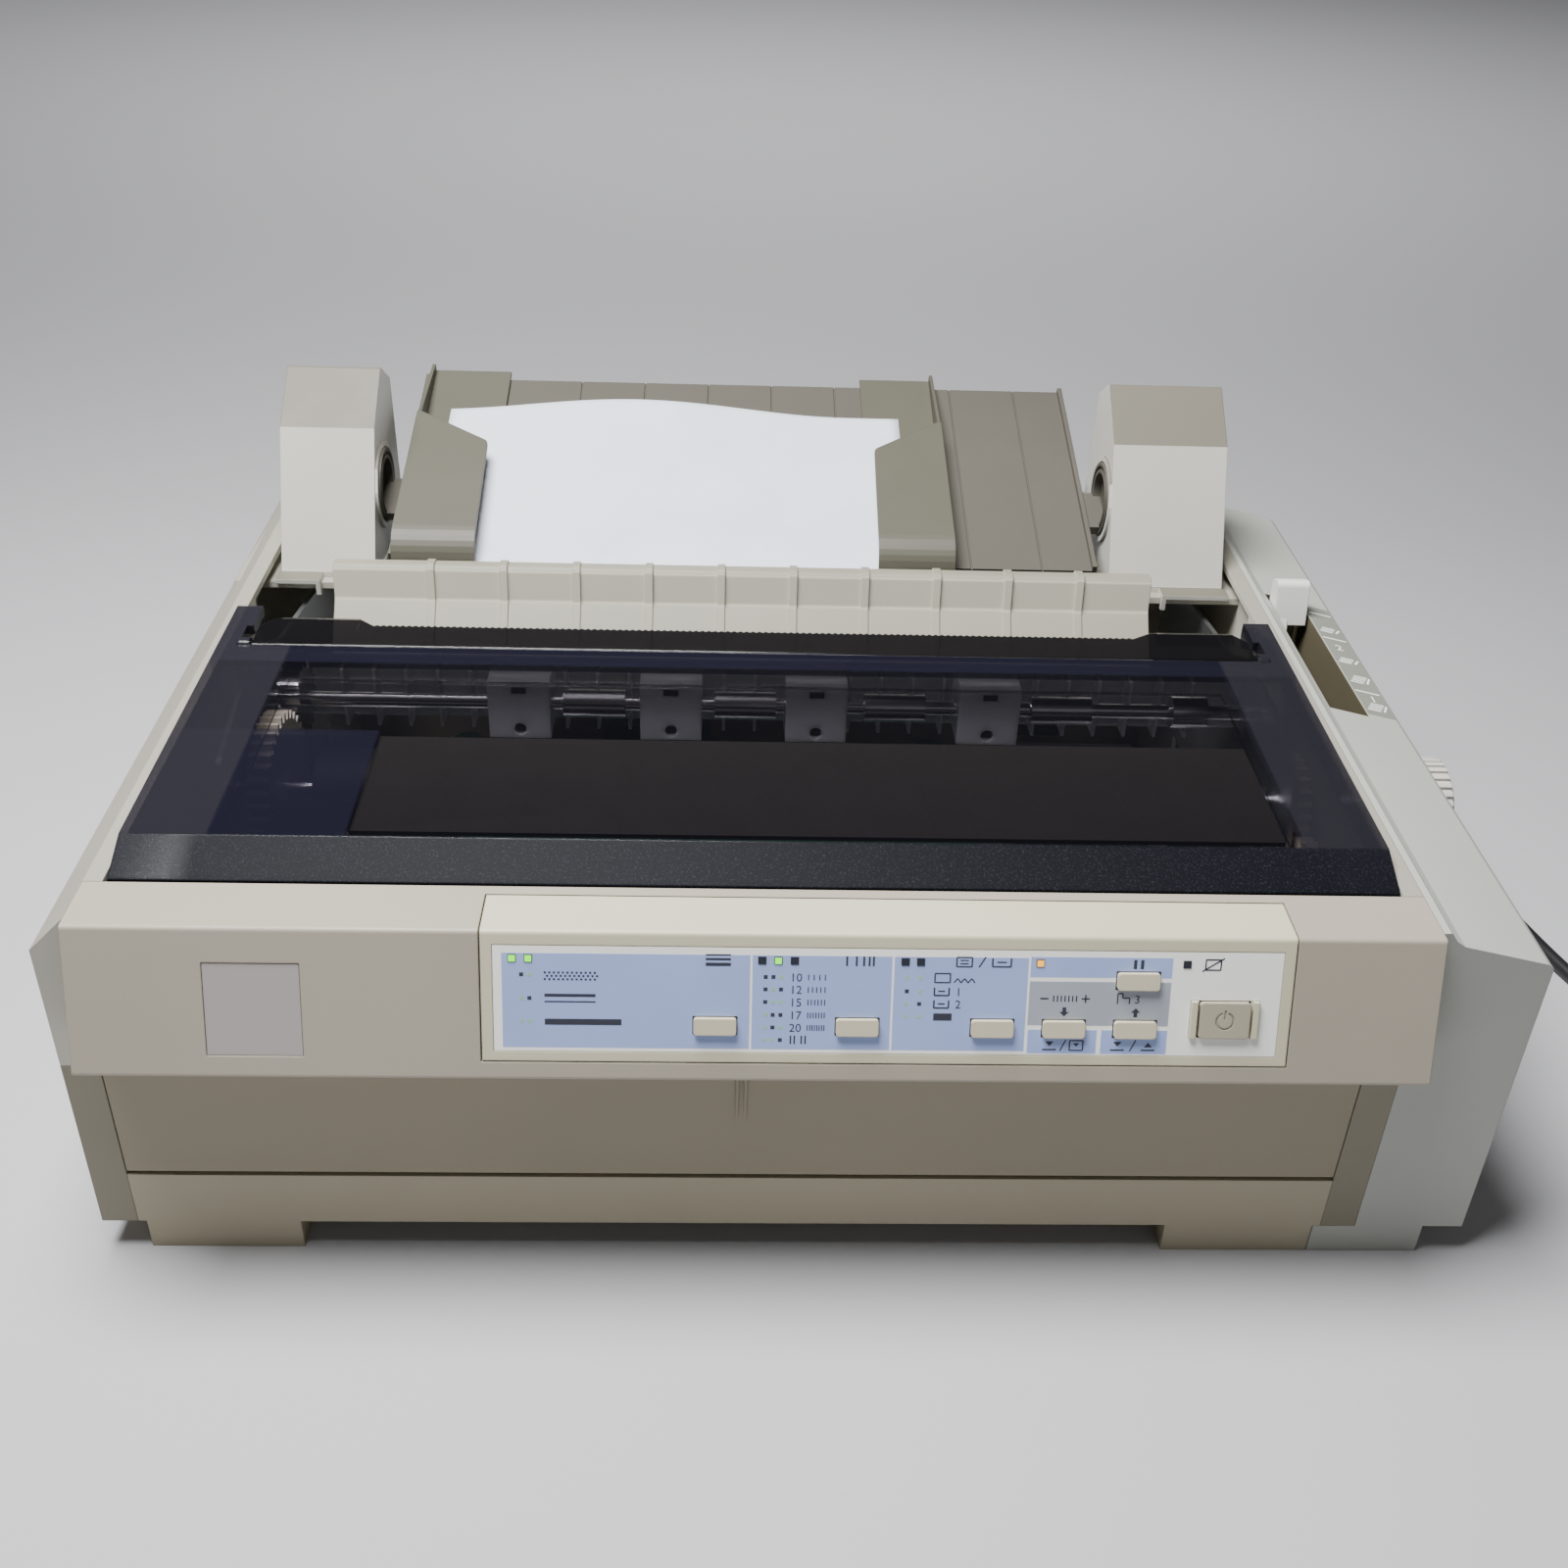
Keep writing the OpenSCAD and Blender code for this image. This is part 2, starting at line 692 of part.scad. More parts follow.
module tear_off_flap() {
    x0 = cover_x0 + ear_w + 2.4;
    x1 = cover_x1 - ear_w - 2.4;
    saw0 = x0 + 44;
    saw1 = x1 - 44;
    edge = cover_l + 2 + flap_d;
    teeth = floor((saw1 - saw0) / tooth_pitch);
    color("midnightblue", 0.85) in_cover() {
        translate([0, 0, -cover_t]) linear_extrude(cover_t) polygon(concat(
            [[x1, cover_l + 2], [x1, edge - 2], [x1 - 5, edge + 4], [saw1 + 6, edge + 4]],
            [for (i = [teeth:-1:0]) each [[saw0 + tooth_pitch * i, edge - 1],
                [saw0 + tooth_pitch * (i - 0.5), edge]]],
            [[saw0 - 6, edge + 4], [x0 + 5, edge + 4], [x0, edge - 2], [x0, cover_l + 2]]));
        bar_x(x0, x1, [cover_l + 2, flap_pin_w], 1.6);
        for (x = [x0 + 8, saw1 + 8])
            across(x, x + 30) polygon([[edge - 6, -0.1], [edge + 3.8, -0.1], [edge + 3.8, 0.4], [edge, 2]]);
        bar_x(x0 - 4, x0 + 1, [cover_l + 2, flap_pin_w], 1.5);
        bar_x(x1 - 1, x1 + 4, [cover_l + 2, flap_pin_w], 1.5);
    }
}

// ---- sheet guide and tray -------------------------------------------------------

bar_half = 172;
rib_pitch = 30.35;

// Ribbed guide behind the flap, hooked to the side boxes.
module guide_bar() {
    outline = rounded([[-7, 7, 0], [-7, 15, 2.5], [-15.4, 15.6, 2.5], [-17.4, 1, 3], [-33, -17, 0],
        [-31, -18.6, 0], [-15, -0.2, 3], [-12.6, 13, 1], [-9.4, 12.6, 1], [-9.4, 7, 0]]);
    color("beige") translate([0, well_y1, deck_z]) {
        across(tray_cx - bar_half, tray_cx + bar_half) polygon(outline);
        for (i = [0:9])
            across(tray_cx + rib_pitch * (i - 4.5) + 5 - 1.6, tray_cx + rib_pitch * (i - 4.5) + 5 + 1.6)
                polygon(rounded([[-7.4, 12, 0], [-7.4, 16, 2.5], [-16.2, 16.6, 2.5], [-18.4, 1, 3],
                    [-33.6, -16.6, 0], [-32, -18, 0], [-16, 1, 2], [-14, 14, 0]]));
        for (side = [-1, 1]) {
            x = tray_cx + side * (bar_half - 1.25);
            across(x - 1.25, x + 1.25) polygon(rounded([[-32.6, -17.2, 0], [-31, -18.8, 0],
                [-7, 0, 2], [-7, 14, 2], [-15, 15, 2], [-17, 1, 0]]));
            across(x + (side < 0 ? 0 : -9), x + (side < 0 ? 9 : 0))
                polygon([[-9.2, 0], [5, 0], [5, 2.6], [-9.2, 8]]);
        }
    }
}

// Outline of a side box, seen from the side.
function box_outline(inset) = rounded([
    [hub_y - 34 + inset, deck_z + 2 - (inset > 0 ? 1 : 0), 0],
    [hub_y - 7 + inset * 0.6, deck_z + 57 - inset * 0.5, inset > 0 ? 0 : 1],
    [hub_y + 17, deck_z + 76 - inset * 1.2, inset > 0 ? 0 : 1.5],
    [hub_y + 34 - inset, deck_z + 66 - inset * 0.8, inset > 0 ? 0 : 2],
    [hub_y + 36 - inset, deck_z + 2 - (inset > 0 ? 1 : 0), 0]
]);

// Side box: a shell on a base flange, open toward the tray hub.
module side_box(x0, x1, hub_side) {
    difference() {
        union() {
            difference() {
                across(x0, x1) polygon(box_outline(0));
                across(x0 + shell_t, x1 - shell_t) polygon(box_outline(shell_t));
            }
            difference() {
                block([x0 - 1, hub_y - 35, deck_z], [x1, hub_y + 36, deck_z + 2.1]);
                block([x0 + shell_t, hub_y - 31, deck_z - 1], [x1 - shell_t, hub_y + 33, deck_z + 3]);
            }
            block([hub_side > 0 ? x0 - 1 : x0 + 22, well_y1 - 2.4, deck_z],
                [hub_side > 0 ? x1 - 22 : x1 + 1, hub_y - 34.9, deck_z + 2.1]);
            block([hub_side > 0 ? x1 - 24 : x0 + 22, well_y1 - 2.4, deck_z - 5],
                [hub_side > 0 ? x1 - 22 : x0 + 24, well_y1 - 0.4, deck_z + 1]);
            across(hub_side > 0 ? x1 - 0.1 : x0 - 1.2, hub_side > 0 ? x1 + 1.2 : x0 + 0.1) intersection() {
                translate([hub_y, hub_z]) circle(hub_r + 2.4);
                polygon(box_outline(0.3));
            }
        }
        bar_x(hub_side > 0 ? x1 - hub_t - 0.5 : x0 - 2, hub_side > 0 ? x1 + 2 : x0 + hub_t + 0.5,
            [hub_y, hub_z], hub_r + hub_gap);
    }
}

module left_box() {
    color("gainsboro") side_box(tray_cx - box_in - left_box_w, tray_cx - box_in, 1);
}

module right_box() {
    color("gainsboro") side_box(tray_cx + box_in, tray_cx + box_in + right_box_w, -1);
}

tray_w_at = -8;
tray_t = 2.5;
rim_t = 2;
hub_arm = sqrt(hub_r * hub_r - pow(tray_t - tray_w_at, 2)) - 1;

// Tray with side rims, two ears and the round hubs that turn in the side boxes.
module sheet_tray() {
    color("darkkhaki") in_tray() {
        difference() {
            block([tray_cx - tray_w / 2, -tray_front, tray_w_at - tray_t],
                [tray_cx + tray_w / 2, tray_back, tray_w_at]);
            for (x = [tray_cx + 98, tray_cx + 129])
                block([x, -tray_front - 1, tray_w_at - 0.6], [x + 0.8, tray_back + 1, tray_w_at + 1]);
            for (x = [-78:30.3:48])
                block([x, tray_back - 30, tray_w_at - 0.6], [x + 0.8, tray_back + 1, tray_w_at + 1]);
        }
        for (x = [tray_cx - 120, tray_cx - 60, tray_cx, tray_cx + 60, tray_cx + 120])
            block([x - 1, -tray_front + 4, tray_w_at - tray_t - 4], [x + 1, tray_back - 4, tray_w_at - tray_t + 0.1]);
        for (side = [-1, 1]) translate([tray_cx + side * tray_w / 2, 0, 0]) mirror([side < 0 ? 1 : 0, 0, 0]) {
            across(-rim_t, 0) translate([-tray_front, tray_w_at - tray_t])
                square([tray_front + tray_back, tray_t + 2.5]);
            across(-0.1, 8.6) translate([-hub_arm, tray_w_at - tray_t]) square([2 * hub_arm, 4]);
            difference() {
                across(5.5, 11) circle(hub_r);
                across(5, 8) circle(hub_r - 5);
            }
            for (r = [hub_r - 0.5, hub_r - 3.5])
                across(4.6, 5.6) difference() {
                    circle(r);
                    circle(r - 1.5);
                }
        }
    }
}

guide_t = 1.5;
flap_w_at = 4;
lip_r = 14;
lip_turn = 62;
lip_from = 6 - tray_front;
left_outer = tray_cx - tray_w / 2 + rim_t + 0.7;
sheet_x0 = left_outer + 12.3;
right_outer = sheet_x0 + sheet_w + 18;

// Curve of the guide's lip at radius r, its last stretch straight.
function lip_curve(r) = [for (k = [0:7]) let (a = lip_turn * min(k, 6) / 6, on = k > 6 ? 1.5 : 0)
    [lip_from - r * sin(a) - on * cos(a), flap_w_at + guide_t - lip_r + r * cos(a) - on * sin(a)]];

// Edge guide: base plate on the tray, outer wall, flap that holds the sheets' edge.
module edge_guide(outer, inner, side) {
    low = tray_w_at + 0.3;
    x0 = min(outer, inner);
    x1 = max(outer, inner);
    over = lip_curve(lip_r);
    under = lip_curve(lip_r - guide_t);
    in_tray() {
        block([x0, -tray_front + 1, low], [x1, tray_back + 4, low + guide_t]);
        across(side < 0 ? x0 : x1 - guide_t, side < 0 ? x0 + guide_t : x1)
            polygon(concat([[tray_back - 41, flap_w_at + 0.1], [tray_back - 41, low], [-tray_front + 1, low],
                under[7]], [for (k = [7:-1:0]) over[k]]));
        across(side < 0 ? x0 : x0 + 2, side < 0 ? x1 - 2 : x1) polygon(concat(over,
            [for (k = [7:-1:0]) under[k]], [[lip_from + 2, flap_w_at], [lip_from + 2, flap_w_at + guide_t]]));
        across(side < 0 ? x0 : x1 - guide_t, side < 0 ? x0 + guide_t : x1)
            polygon([[tray_back - 42, low], [tray_back + 4, low], [tray_back + 4, low + 5], [tray_back - 42, flap_w_at]]);
        translate([0, 0, flap_w_at]) linear_extrude(guide_t) polygon(rounded(side < 0
            ? [[x0, lip_from, 0], [x1 - 2, lip_from, 0], [x1 - 3, 25, 4], [x0, tray_back - 42, 1]]
            : [[x1, lip_from, 0], [x1, tray_back - 42, 1], [x0 + 3, 25, 4], [x0 + 2, lip_from, 0]]));
    }
}

module left_guide() {
    color("darkkhaki") edge_guide(left_outer, left_outer + 37.3, -1);
}

module right_guide() {
    color("darkkhaki") edge_guide(right_outer, right_outer - 35, 1);
}

sheet_cx = sheet_x0 + sheet_w / 2;
sheet_low = tray_w_at + 0.3 + guide_t + 0.3;
sheet_t = 0.4;
sheet_top = 62;
sheet_flat = sheet_top + tray_front - 1;
throat_r = 28;
throat_turn = 60;
bulge_h = 8;
bulge_x = sheet_cx - 18;
bulge_half = 100;

function bulge(x) = abs(x - bulge_x) < bulge_half ? bulge_h * pow(cos(90 * (x - bulge_x) / bulge_half), 2) : 0;

// A point of the sheet at x, at distance t from its top edge, lifted by up.
function sheet_point(x, t, up) =
    t <= sheet_flat
    ? [x, sheet_top - t, sheet_low + bulge(x) * (1 - t / sheet_flat) + up]
    : let (
        arc = throat_r * throat_turn * PI / 180,
        turn = min(1, (t - sheet_flat) / arc) * throat_turn,
        rest = max(0, t - sheet_flat - arc)
    )
    [x, sheet_top - sheet_flat - (throat_r + up) * sin(turn) - rest * cos(turn),
        sheet_low - throat_r + (throat_r + up) * cos(turn) - rest * sin(turn)];

// Loaded sheet: bulged on the tray, bent down into the throat behind the guide bar.
module paper_sheet() {
    nx = 14;
    nt = 16;
    row = nx + 1;
    layer = row * (nt + 1);
    points = [for (up = [0, sheet_t]) for (j = [0:nt]) for (i = [0:nx])
        sheet_point(sheet_cx + sheet_w * (i / nx - 0.5), sheet_l * j / nt, up)];
    function cell(i, j) = j * row + i;
    top = [for (j = [0:nt - 1]) for (i = [0:nx - 1])
        [cell(i, j) + layer, cell(i + 1, j) + layer, cell(i + 1, j + 1) + layer, cell(i, j + 1) + layer]];
    under = [for (j = [0:nt - 1]) for (i = [0:nx - 1])
        [cell(i, j), cell(i, j + 1), cell(i + 1, j + 1), cell(i + 1, j)]];
    rear = [for (i = [0:nx - 1]) [cell(i, 0), cell(i + 1, 0), cell(i + 1, 0) + layer, cell(i, 0) + layer]];
    front = [for (i = [0:nx - 1])
        [cell(i + 1, nt), cell(i, nt), cell(i, nt) + layer, cell(i + 1, nt) + layer]];
    left = [for (j = [0:nt - 1]) [cell(0, j + 1), cell(0, j), cell(0, j) + layer, cell(0, j + 1) + layer]];
    right = [for (j = [0:nt - 1])
        [cell(nx, j), cell(nx, j + 1), cell(nx, j + 1) + layer, cell(nx, j) + layer]];
    color("white") in_tray() polyhedron(points, concat(top, under, rear, front, left, right));
}

// ---- gears ----------------------------------------------------------------------

teeth_platen = 38;
teeth_tension = 18;
teeth_motor = 10;
teeth_drive = 24;
teeth_idler = 23;
left_gear_x = frame_x0 + 12;
right_gear_x = frame_x1 + 2;
left_gear_t = 8;
right_gear_t = 6;
axis_z = platen_z;
tension_dir = atan2(18, 38);
motor_dir = -45;
train_dir = 209.48;

function pitch_r(z) = gear_m * z / 2;
function step_out(from, dir, d) = from + d * [cos(dir), sin(dir)];

// Phase of the mating gear, so that a gap meets the tooth of the first one.
function mesh(z1, a1, dir, z2) = dir + 180 + 360 / z2 * ((dir - a1) * z1 / 360 - 0.5);

platen_at = [platen_y, platen_z];
tension_at = step_out(platen_at, tension_dir, pitch_r(teeth_platen + teeth_tension));
motor_at = step_out(platen_at, motor_dir, pitch_r(teeth_platen + teeth_motor) - 0);
rear_idler_at = step_out(platen_at, train_dir, pitch_r(teeth_drive + teeth_idler));
front_idler_at = step_out(rear_idler_at, train_dir, pitch_r(2 * teeth_idler));
tractor_at = step_out(front_idler_at, train_dir, pitch_r(2 * teeth_idler));
rear_idler_phase = mesh(teeth_drive, 0, train_dir, teeth_idler);
front_idler_phase = mesh(teeth_idler, rear_idler_phase, train_dir, teeth_idler);
tractor_phase = mesh(teeth_idler, front_idler_phase, train_dir, teeth_idler);

// Spur gear between x0 and x1 with a tooth centred at the phase angle and a round bore.
module gear(x0, x1, at, z, phase, bore) {
    root = pitch_r(z) - 1.15 * gear_m;
    tip = pitch_r(z) + 0.85 * gear_m;
    p = 360 / z;
    difference() {
        across(x0, x1) translate(at) polygon([for (i = [0:z - 1]) each
            [for (e = [[root, -0.28], [tip, -0.12], [tip, 0.12], [root, 0.28]])
                e[0] * [cos(phase + p * (i + e[1])), sin(phase + p * (i + e[1]))]]]);
        if (bore > 0)
            bar_x(x0 - 1, x1 + 1, at, bore);
    }
}

// ---- frames ---------------------------------------------------------------------

rod_at = [62, 60];
tractor_rod_at = [tractor_at[0], tractor_at[1] - 24.7];
tractor_rod_r = 3;
idler_stud_r = 3;
rail_y = 88;
frame_outline = rounded([[14, base_z, 0], [14, 84, 6], [50, 100, 0], [92, 108, 6], [100, 138, 6],
    [136, 148, 6], [176, 148, 6], [196, 140, 4], [300, 128, 6], [300, base_z, 0]]);

module frame_plate(x, right) {
    difference() {
        across(x, x + frame_t) polygon(frame_outline);
        bar_x(x - 1, x + frame_t + 1, platen_at, shaft_r + fit);
        bar_x(x - 1, x + frame_t + 1, tension_at, tension_r + fit);
        bar_x(x - 1, x + frame_t + 1, rod_at, rod_r + fit);
        bar_x(x - 1, x + frame_t + 1, tractor_at, tractor_rod_r + fit);
        bar_x(x - 1, x + frame_t + 1, tractor_rod_at, tractor_rod_r + fit);
        if (!right)
            bar_x(x - 1, x + frame_t + 1, motor_at, 4);
        for (c = [[[206, 36], [248, 70]], [[150, 36], [192, 70]], [[84, 36], [126, 66]]])
            block([x - 1, c[0][0], c[0][1]], [x + frame_t + 1, c[1][0], c[1][1]]);
    }
}

module left_frame() {
    color("silver") frame_plate(frame_x0, false);
}

// Right frame with the studs of the two idler gears.
module right_frame() {
    color("silver") {
        frame_plate(frame_x1 - frame_t, true);
        for (at = [rear_idler_at, front_idler_at])
            bar_x(frame_x1 - 0.1, right_gear_x + right_gear_t + 1.2, at, idler_stud_r);
    }
}

// Base plate between the frames, with the rear carriage rail and the belt's idler post.
module chassis_base() {
    color("silver") {
        difference() {
            block([frame_x0 + frame_t, 14, base_z], [frame_x1 - frame_t, 300, base_z + 2]);
            for (i = [0:7])
                block([-150 + 40 * i, 110, base_z - 1], [-130 + 40 * i, 150, base_z + 3]);
        }
        block([frame_x0 + frame_t, rail_y, 82], [frame_x1 - frame_t, rail_y + 12, 84]);
        translate([belt_x1, belt_y, base_z + 1]) cylinder(r = 5, h = belt_z - base_z - 2);
        translate([belt_x1, belt_y, base_z + 1]) cylinder(r = 3, h = belt_z - base_z + 7);
    }
}

module guide_rods() {
    color("silver") {
        bar_x(frame_x0 - 1, frame_x1 + 0.6, rod_at, rod_r);
        bar_x(frame_x0 - 1, frame_x1 + 0.6, tractor_rod_at, tractor_rod_r);
    }
}

// ---- platen and its gears -------------------------------------------------------

platen_x0 = (frame_x0 + frame_x1 - platen_l) / 2 - 4;

module platen() {
    color("#2a2a2c") difference() {
        bar_x(platen_x0, platen_x0 + platen_l, platen_at, platen_r);
        bar_x(platen_x0 - 1, platen_x0 + platen_l + 1, platen_at, shaft_r + fit);
    }
}

module platen_shaft() {
    color("silver") bar_x(frame_x0 - 3, knob_x + knob_t - 1.5, platen_at, shaft_r);
}

// Ribbed knob on the shaft's end.
module feed_knob() {
    ribs = 32;
    color("gainsboro") difference() {
        union() {
            bar_x(knob_x, knob_x + knob_t - 1, platen_at, knob_r - 1);
            bar_x(knob_x + 1, knob_x + knob_t, platen_at, knob_r - 2.2);
            for (i = [0:ribs - 1])
                translate([0, platen_y, platen_z]) rotate([360 / ribs * i, 0, 0])
                    block([knob_x, knob_r - 1.8, -0.9], [knob_x + knob_t - 1.2, knob_r, 0.9]);
        }
        bar_x(knob_x - 1, knob_x + knob_t - 1.4, platen_at, shaft_r + fit);
        difference() {
            bar_x(knob_x + knob_t - 1.2, knob_x + knob_t + 1, platen_at, knob_r - 5);
            bar_x(knob_x, knob_x + knob_t + 2, platen_at, 6);
        }
    }
}

module platen_gears() {
    color("ivory") {
        gear(left_gear_x, left_gear_x + left_gear_t, platen_at, teeth_platen, 0, shaft_r + fit);
        gear(right_gear_x, right_gear_x + right_gear_t, platen_at, teeth_drive, 0, shaft_r + fit);
    }
}

motor_x0 = frame_x0 - 22;

// Feed motor behind the left frame and carriage motor under the belt's drive pulley.
module motors() {
    color("dimgray") {
        difference() {
            union() {
                bar_x(motor_x0, frame_x0 - 1.5, motor_at, 19);
                block([frame_x0 - 1.5, motor_at[0] - 21, motor_at[1] - 19],
                    [frame_x0, motor_at[0] + 21, motor_at[1] + 19]);
            }
            bar_x(motor_x0 + 5, frame_x0 + 1, motor_at, 2.5 + fit);
        }
        difference() {
            translate([belt_x0, belt_y, base_z + 2]) cylinder(r = 16.5, h = 21);
            translate([belt_x0, belt_y, base_z + 8]) cylinder(r = 2.5 + fit, h = 21);
        }
    }
}

module motor_pinion() {
    color("goldenrod") {
        gear(left_gear_x, left_gear_x + left_gear_t, motor_at, teeth_motor,
            mesh(teeth_platen, 0, motor_dir, teeth_motor), 0);
        bar_x(frame_x0 - 10, left_gear_x + 0.1, motor_at, 2.5);
    }
}

module front_idler() {
    color("ivory") gear(right_gear_x, right_gear_x + right_gear_t, front_idler_at, teeth_idler,
        front_idler_phase, idler_stud_r + fit);
}

module rear_idler() {
    color("ivory") gear(right_gear_x, right_gear_x + right_gear_t, rear_idler_at, teeth_idler,
        rear_idler_phase, idler_stud_r + fit);
}

module tractor_shaft() {
    color("silver") {
        bar_x(frame_x0 - 1, right_gear_x + 0.1, tractor_at, tractor_rod_r);
        gear(right_gear_x, right_gear_x + right_gear_t, tractor_at, teeth_idler, tractor_phase, 0);
    }
}

// ---- tension unit ---------------------------------------------------------------

tension_r = 3;
block_x = [-87, -28, 29, 97];
fin_pitch = 12.5;

// Finned plate with the four shaft blocks.
module tension_frame() {
    color("#2e2e30") {
        block([frame_x0 + frame_t, 172, 118], [frame_x1 - frame_t, 176, 143]);
        for (i = [0:27])
            block([-158 + fin_pitch * i, 163, 118], [-156.8 + fin_pitch * i, 172.1, 143]);
        for (x = block_x)
            difference() {
                block([x - 12, 150, 121], [x + 12, 172.1, 145]);
                bar_x(x - 13, x + 13, tension_at, tension_r + fit);
                block([x - 3, 149, 139.8], [x + 3, 152, 143.4]);
                translate([x, 0, 125]) along(149, 152) circle(2.5);
            }
    }
}

module tension_shaft() {
    color("#3a3a3c") {
        bar_x(frame_x0 - 1, frame_x1 + 0.6, tension_at, tension_r);
        gear(left_gear_x, left_gear_x + left_gear_t, tension_at, teeth_tension,
            mesh(teeth_platen, 0, tension_dir, teeth_tension), 0);
        for (x = [-70, -11, 48, 114])
            bar_x(x, x + 24, tension_at, 5.5);
        bar_x(170, 184, tension_at, 6.5);
    }
}

// ---- push tractor ---------------------------------------------------------------

tractor_x = [-120, 60];
tractor_w = 16;
sprocket_r = 11.5;
hub_bush_r = 5;

// Tractor body: side plate on the rod, bore for the sprocket's hub, lid over the pins.
module tractor(x) {
    y = tractor_at[0];
    z = tractor_at[1];
    difference() {
        union() {
            across(x, x + 6) polygon(rounded([[y - 15, z - 32, 3], [y + 16, z - 32, 3],
                [y + 16, z + 19, 4], [y - 15, z + 19, 4]]));
            block([x + 5.9, y - 13, z + 15.6], [x + tractor_w, y + 14, z + 18.5]);
        }
        bar_x(x - 1, x + 7, tractor_at, hub_bush_r + fit);
        bar_x(x - 1, x + 7, tractor_rod_at, tractor_rod_r + fit);
    }
}

module left_tractor() {
    color("#3a3a3c") tractor(tractor_x[0]);
}

module right_tractor() {
    color("#3a3a3c") tractor(tractor_x[1]);
}

// Sprocket wheel with eight pins, on a hub that turns in the tractor body.
module sprocket(x) {
    difference() {
        union() {
            bar_x(x - 0.5, x + 6.6, tractor_at, hub_bush_r);
            bar_x(x + 6.5, x + 12, tractor_at, sprocket_r);
            for (i = [0:7])
                translate([x + 9.25, tractor_at[0], tractor_at[1]]) rotate([45 * i, 0, 0])
                    translate([0, 0, sprocket_r - 2]) cylinder(r1 = 1.8, r2 = 1.1, h = 4.6);
        }
        bar_x(x - 1, x + 13, tractor_at, tractor_rod_r + fit);
    }
}

module left_sprocket() {
    color("ivory") sprocket(tractor_x[0]);
}

module right_sprocket() {
    color("ivory") sprocket(tractor_x[1]);
}

// ---- carriage, head and belt ----------------------------------------------------

belt_x0 = -170;
belt_x1 = 186;
belt_y = 87;
belt_z = 44;
belt_w = 5;
belt_t = 1.2;
pulley_r = 8;
belt_gap = 0.4;
carriage_x = -carriage_run / 2 - carriage_w / 2;

// Carriage: bored block on the rod, top plate over the rail, clamp round the belt.
module carriage() {
    run = belt_y - pulley_r - belt_gap;
    color("#303032") difference() {
        union() {
            across(carriage_x, carriage_x + carriage_w) polygon(rounded([[50, 48, 3], [74, 48, 3], [74, 84.5, 0],
                [97, 84.5, 0], [97, 92, 2], [60, 96, 0], [50, 96, 3]]));
            block([carriage_x + 10, 70, 39], [carriage_x + 40, 84, 56]);
        }
        bar_x(carriage_x - 1, carriage_x + carriage_w + 1, rod_at, rod_r + fit);
        block([carriage_x, run - belt_t - 0.6, belt_z - 0.4],
            [carriage_x + carriage_w, run + 0.5, belt_z + belt_w + 1.4]);
    }
}

// Print head: finned body and a nose toward the platen.
module print_head() {
    x = carriage_x + carriage_w / 2;
    color("#4a4a4e") {
        translate([x, 0, 0]) block([-15, 62, 96.1], [15, 92, 128]);
        for (z = [100:5:125])
            translate([x, 0, 0]) block([-18, 60, z], [18, 94, z + 2]);
        across(x - 6, x + 6) polygon([[91.9, 105], [99.5, 111], [99.5, 121], [91.9, 127]]);
    }
}

module belt_loop(r) {
    for (x = [belt_x0, belt_x1])
        translate([x, belt_y]) circle(r);
    translate([belt_x0, belt_y - r]) square([belt_x1 - belt_x0, 2 * r]);
}

module carriage_belt() {
    color("#1c1c1e") translate([0, 0, belt_z + 0.5]) linear_extrude(belt_w) difference() {
        belt_loop(pulley_r + belt_gap + belt_t);
        belt_loop(pulley_r + belt_gap);
    }
}

module pulley(x) {
    translate([x, belt_y, belt_z]) {
        cylinder(r = pulley_r, h = belt_w + 1);
        for (z = [-1, belt_w + 1])
            translate([0, 0, z]) cylinder(r = pulley_r + 2.4, h = 1);
    }
}

module drive_pulley() {
    color("goldenrod") {
        pulley(belt_x0);
        translate([belt_x0, belt_y, base_z + 9]) cylinder(r = 2.5, h = belt_z - base_z - 8);
    }
}

module idler_pulley() {
    color("ivory") difference() {
        pulley(belt_x1);
        translate([belt_x1, belt_y, belt_z - 2]) cylinder(r = 3 + fit, h = 12);
    }
}

// ---- ribbon ---------------------------------------------------------------------

ribbon_x0 = -168;
ribbon_x1 = 178;
ribbon_knob_at = [-140, 41];

// Flat cartridge with two arms, the ribbon band between them and brackets to the frames.
module ribbon_cartridge() {
    color("#38383a") {
        difference() {
            block([ribbon_x0, 26, 104], [ribbon_x1, 56, 128]);
            translate([ribbon_knob_at[0], ribbon_knob_at[1], 120]) cylinder(r = 3 + fit, h = 10);
        }
        for (x = [ribbon_x0, ribbon_x1 - 18])
            across(x, x + 18) polygon(rounded([[55.9, 106, 0], [100, 108, 3], [100, 124, 3], [55.9, 126, 0]]));
        block([ribbon_x0 + 17.9, 99.7, 110], [ribbon_x1 - 17.9, 100, 123]);
        for (side = [0, 1]) {
            x0 = side ? ribbon_x1 - 0.1 : frame_x0 + frame_t;
            x1 = side ? frame_x1 - frame_t : ribbon_x0 + 0.1;
            block([x0, 28, 104], [x1, 46, 107]);
            block([side ? x1 - 3 : x0, 28, 86], [side ? x1 : x0 + 3, 46, 107]);
        }
    }
}

module ribbon_knob() {
    color("#55555a") translate([ribbon_knob_at[0], ribbon_knob_at[1], 0]) {
        translate([0, 0, 121]) cylinder(r = 3, h = 8);
        translate([0, 0, 128.4]) cylinder(r = 9, h = 6);
        for (i = [0:11])
            rotate([0, 0, 30 * i]) block([8, -1, 128.4], [10, 1, 134.4]);
        block([-1.5, -7, 134.3], [1.5, 7, 137]);
    }
}

// ---- release lever --------------------------------------------------------------

lever_y = 200;
lever_z = 60;
lever_pin_r = 4;
lever_x = slot_x0 + 0.6;

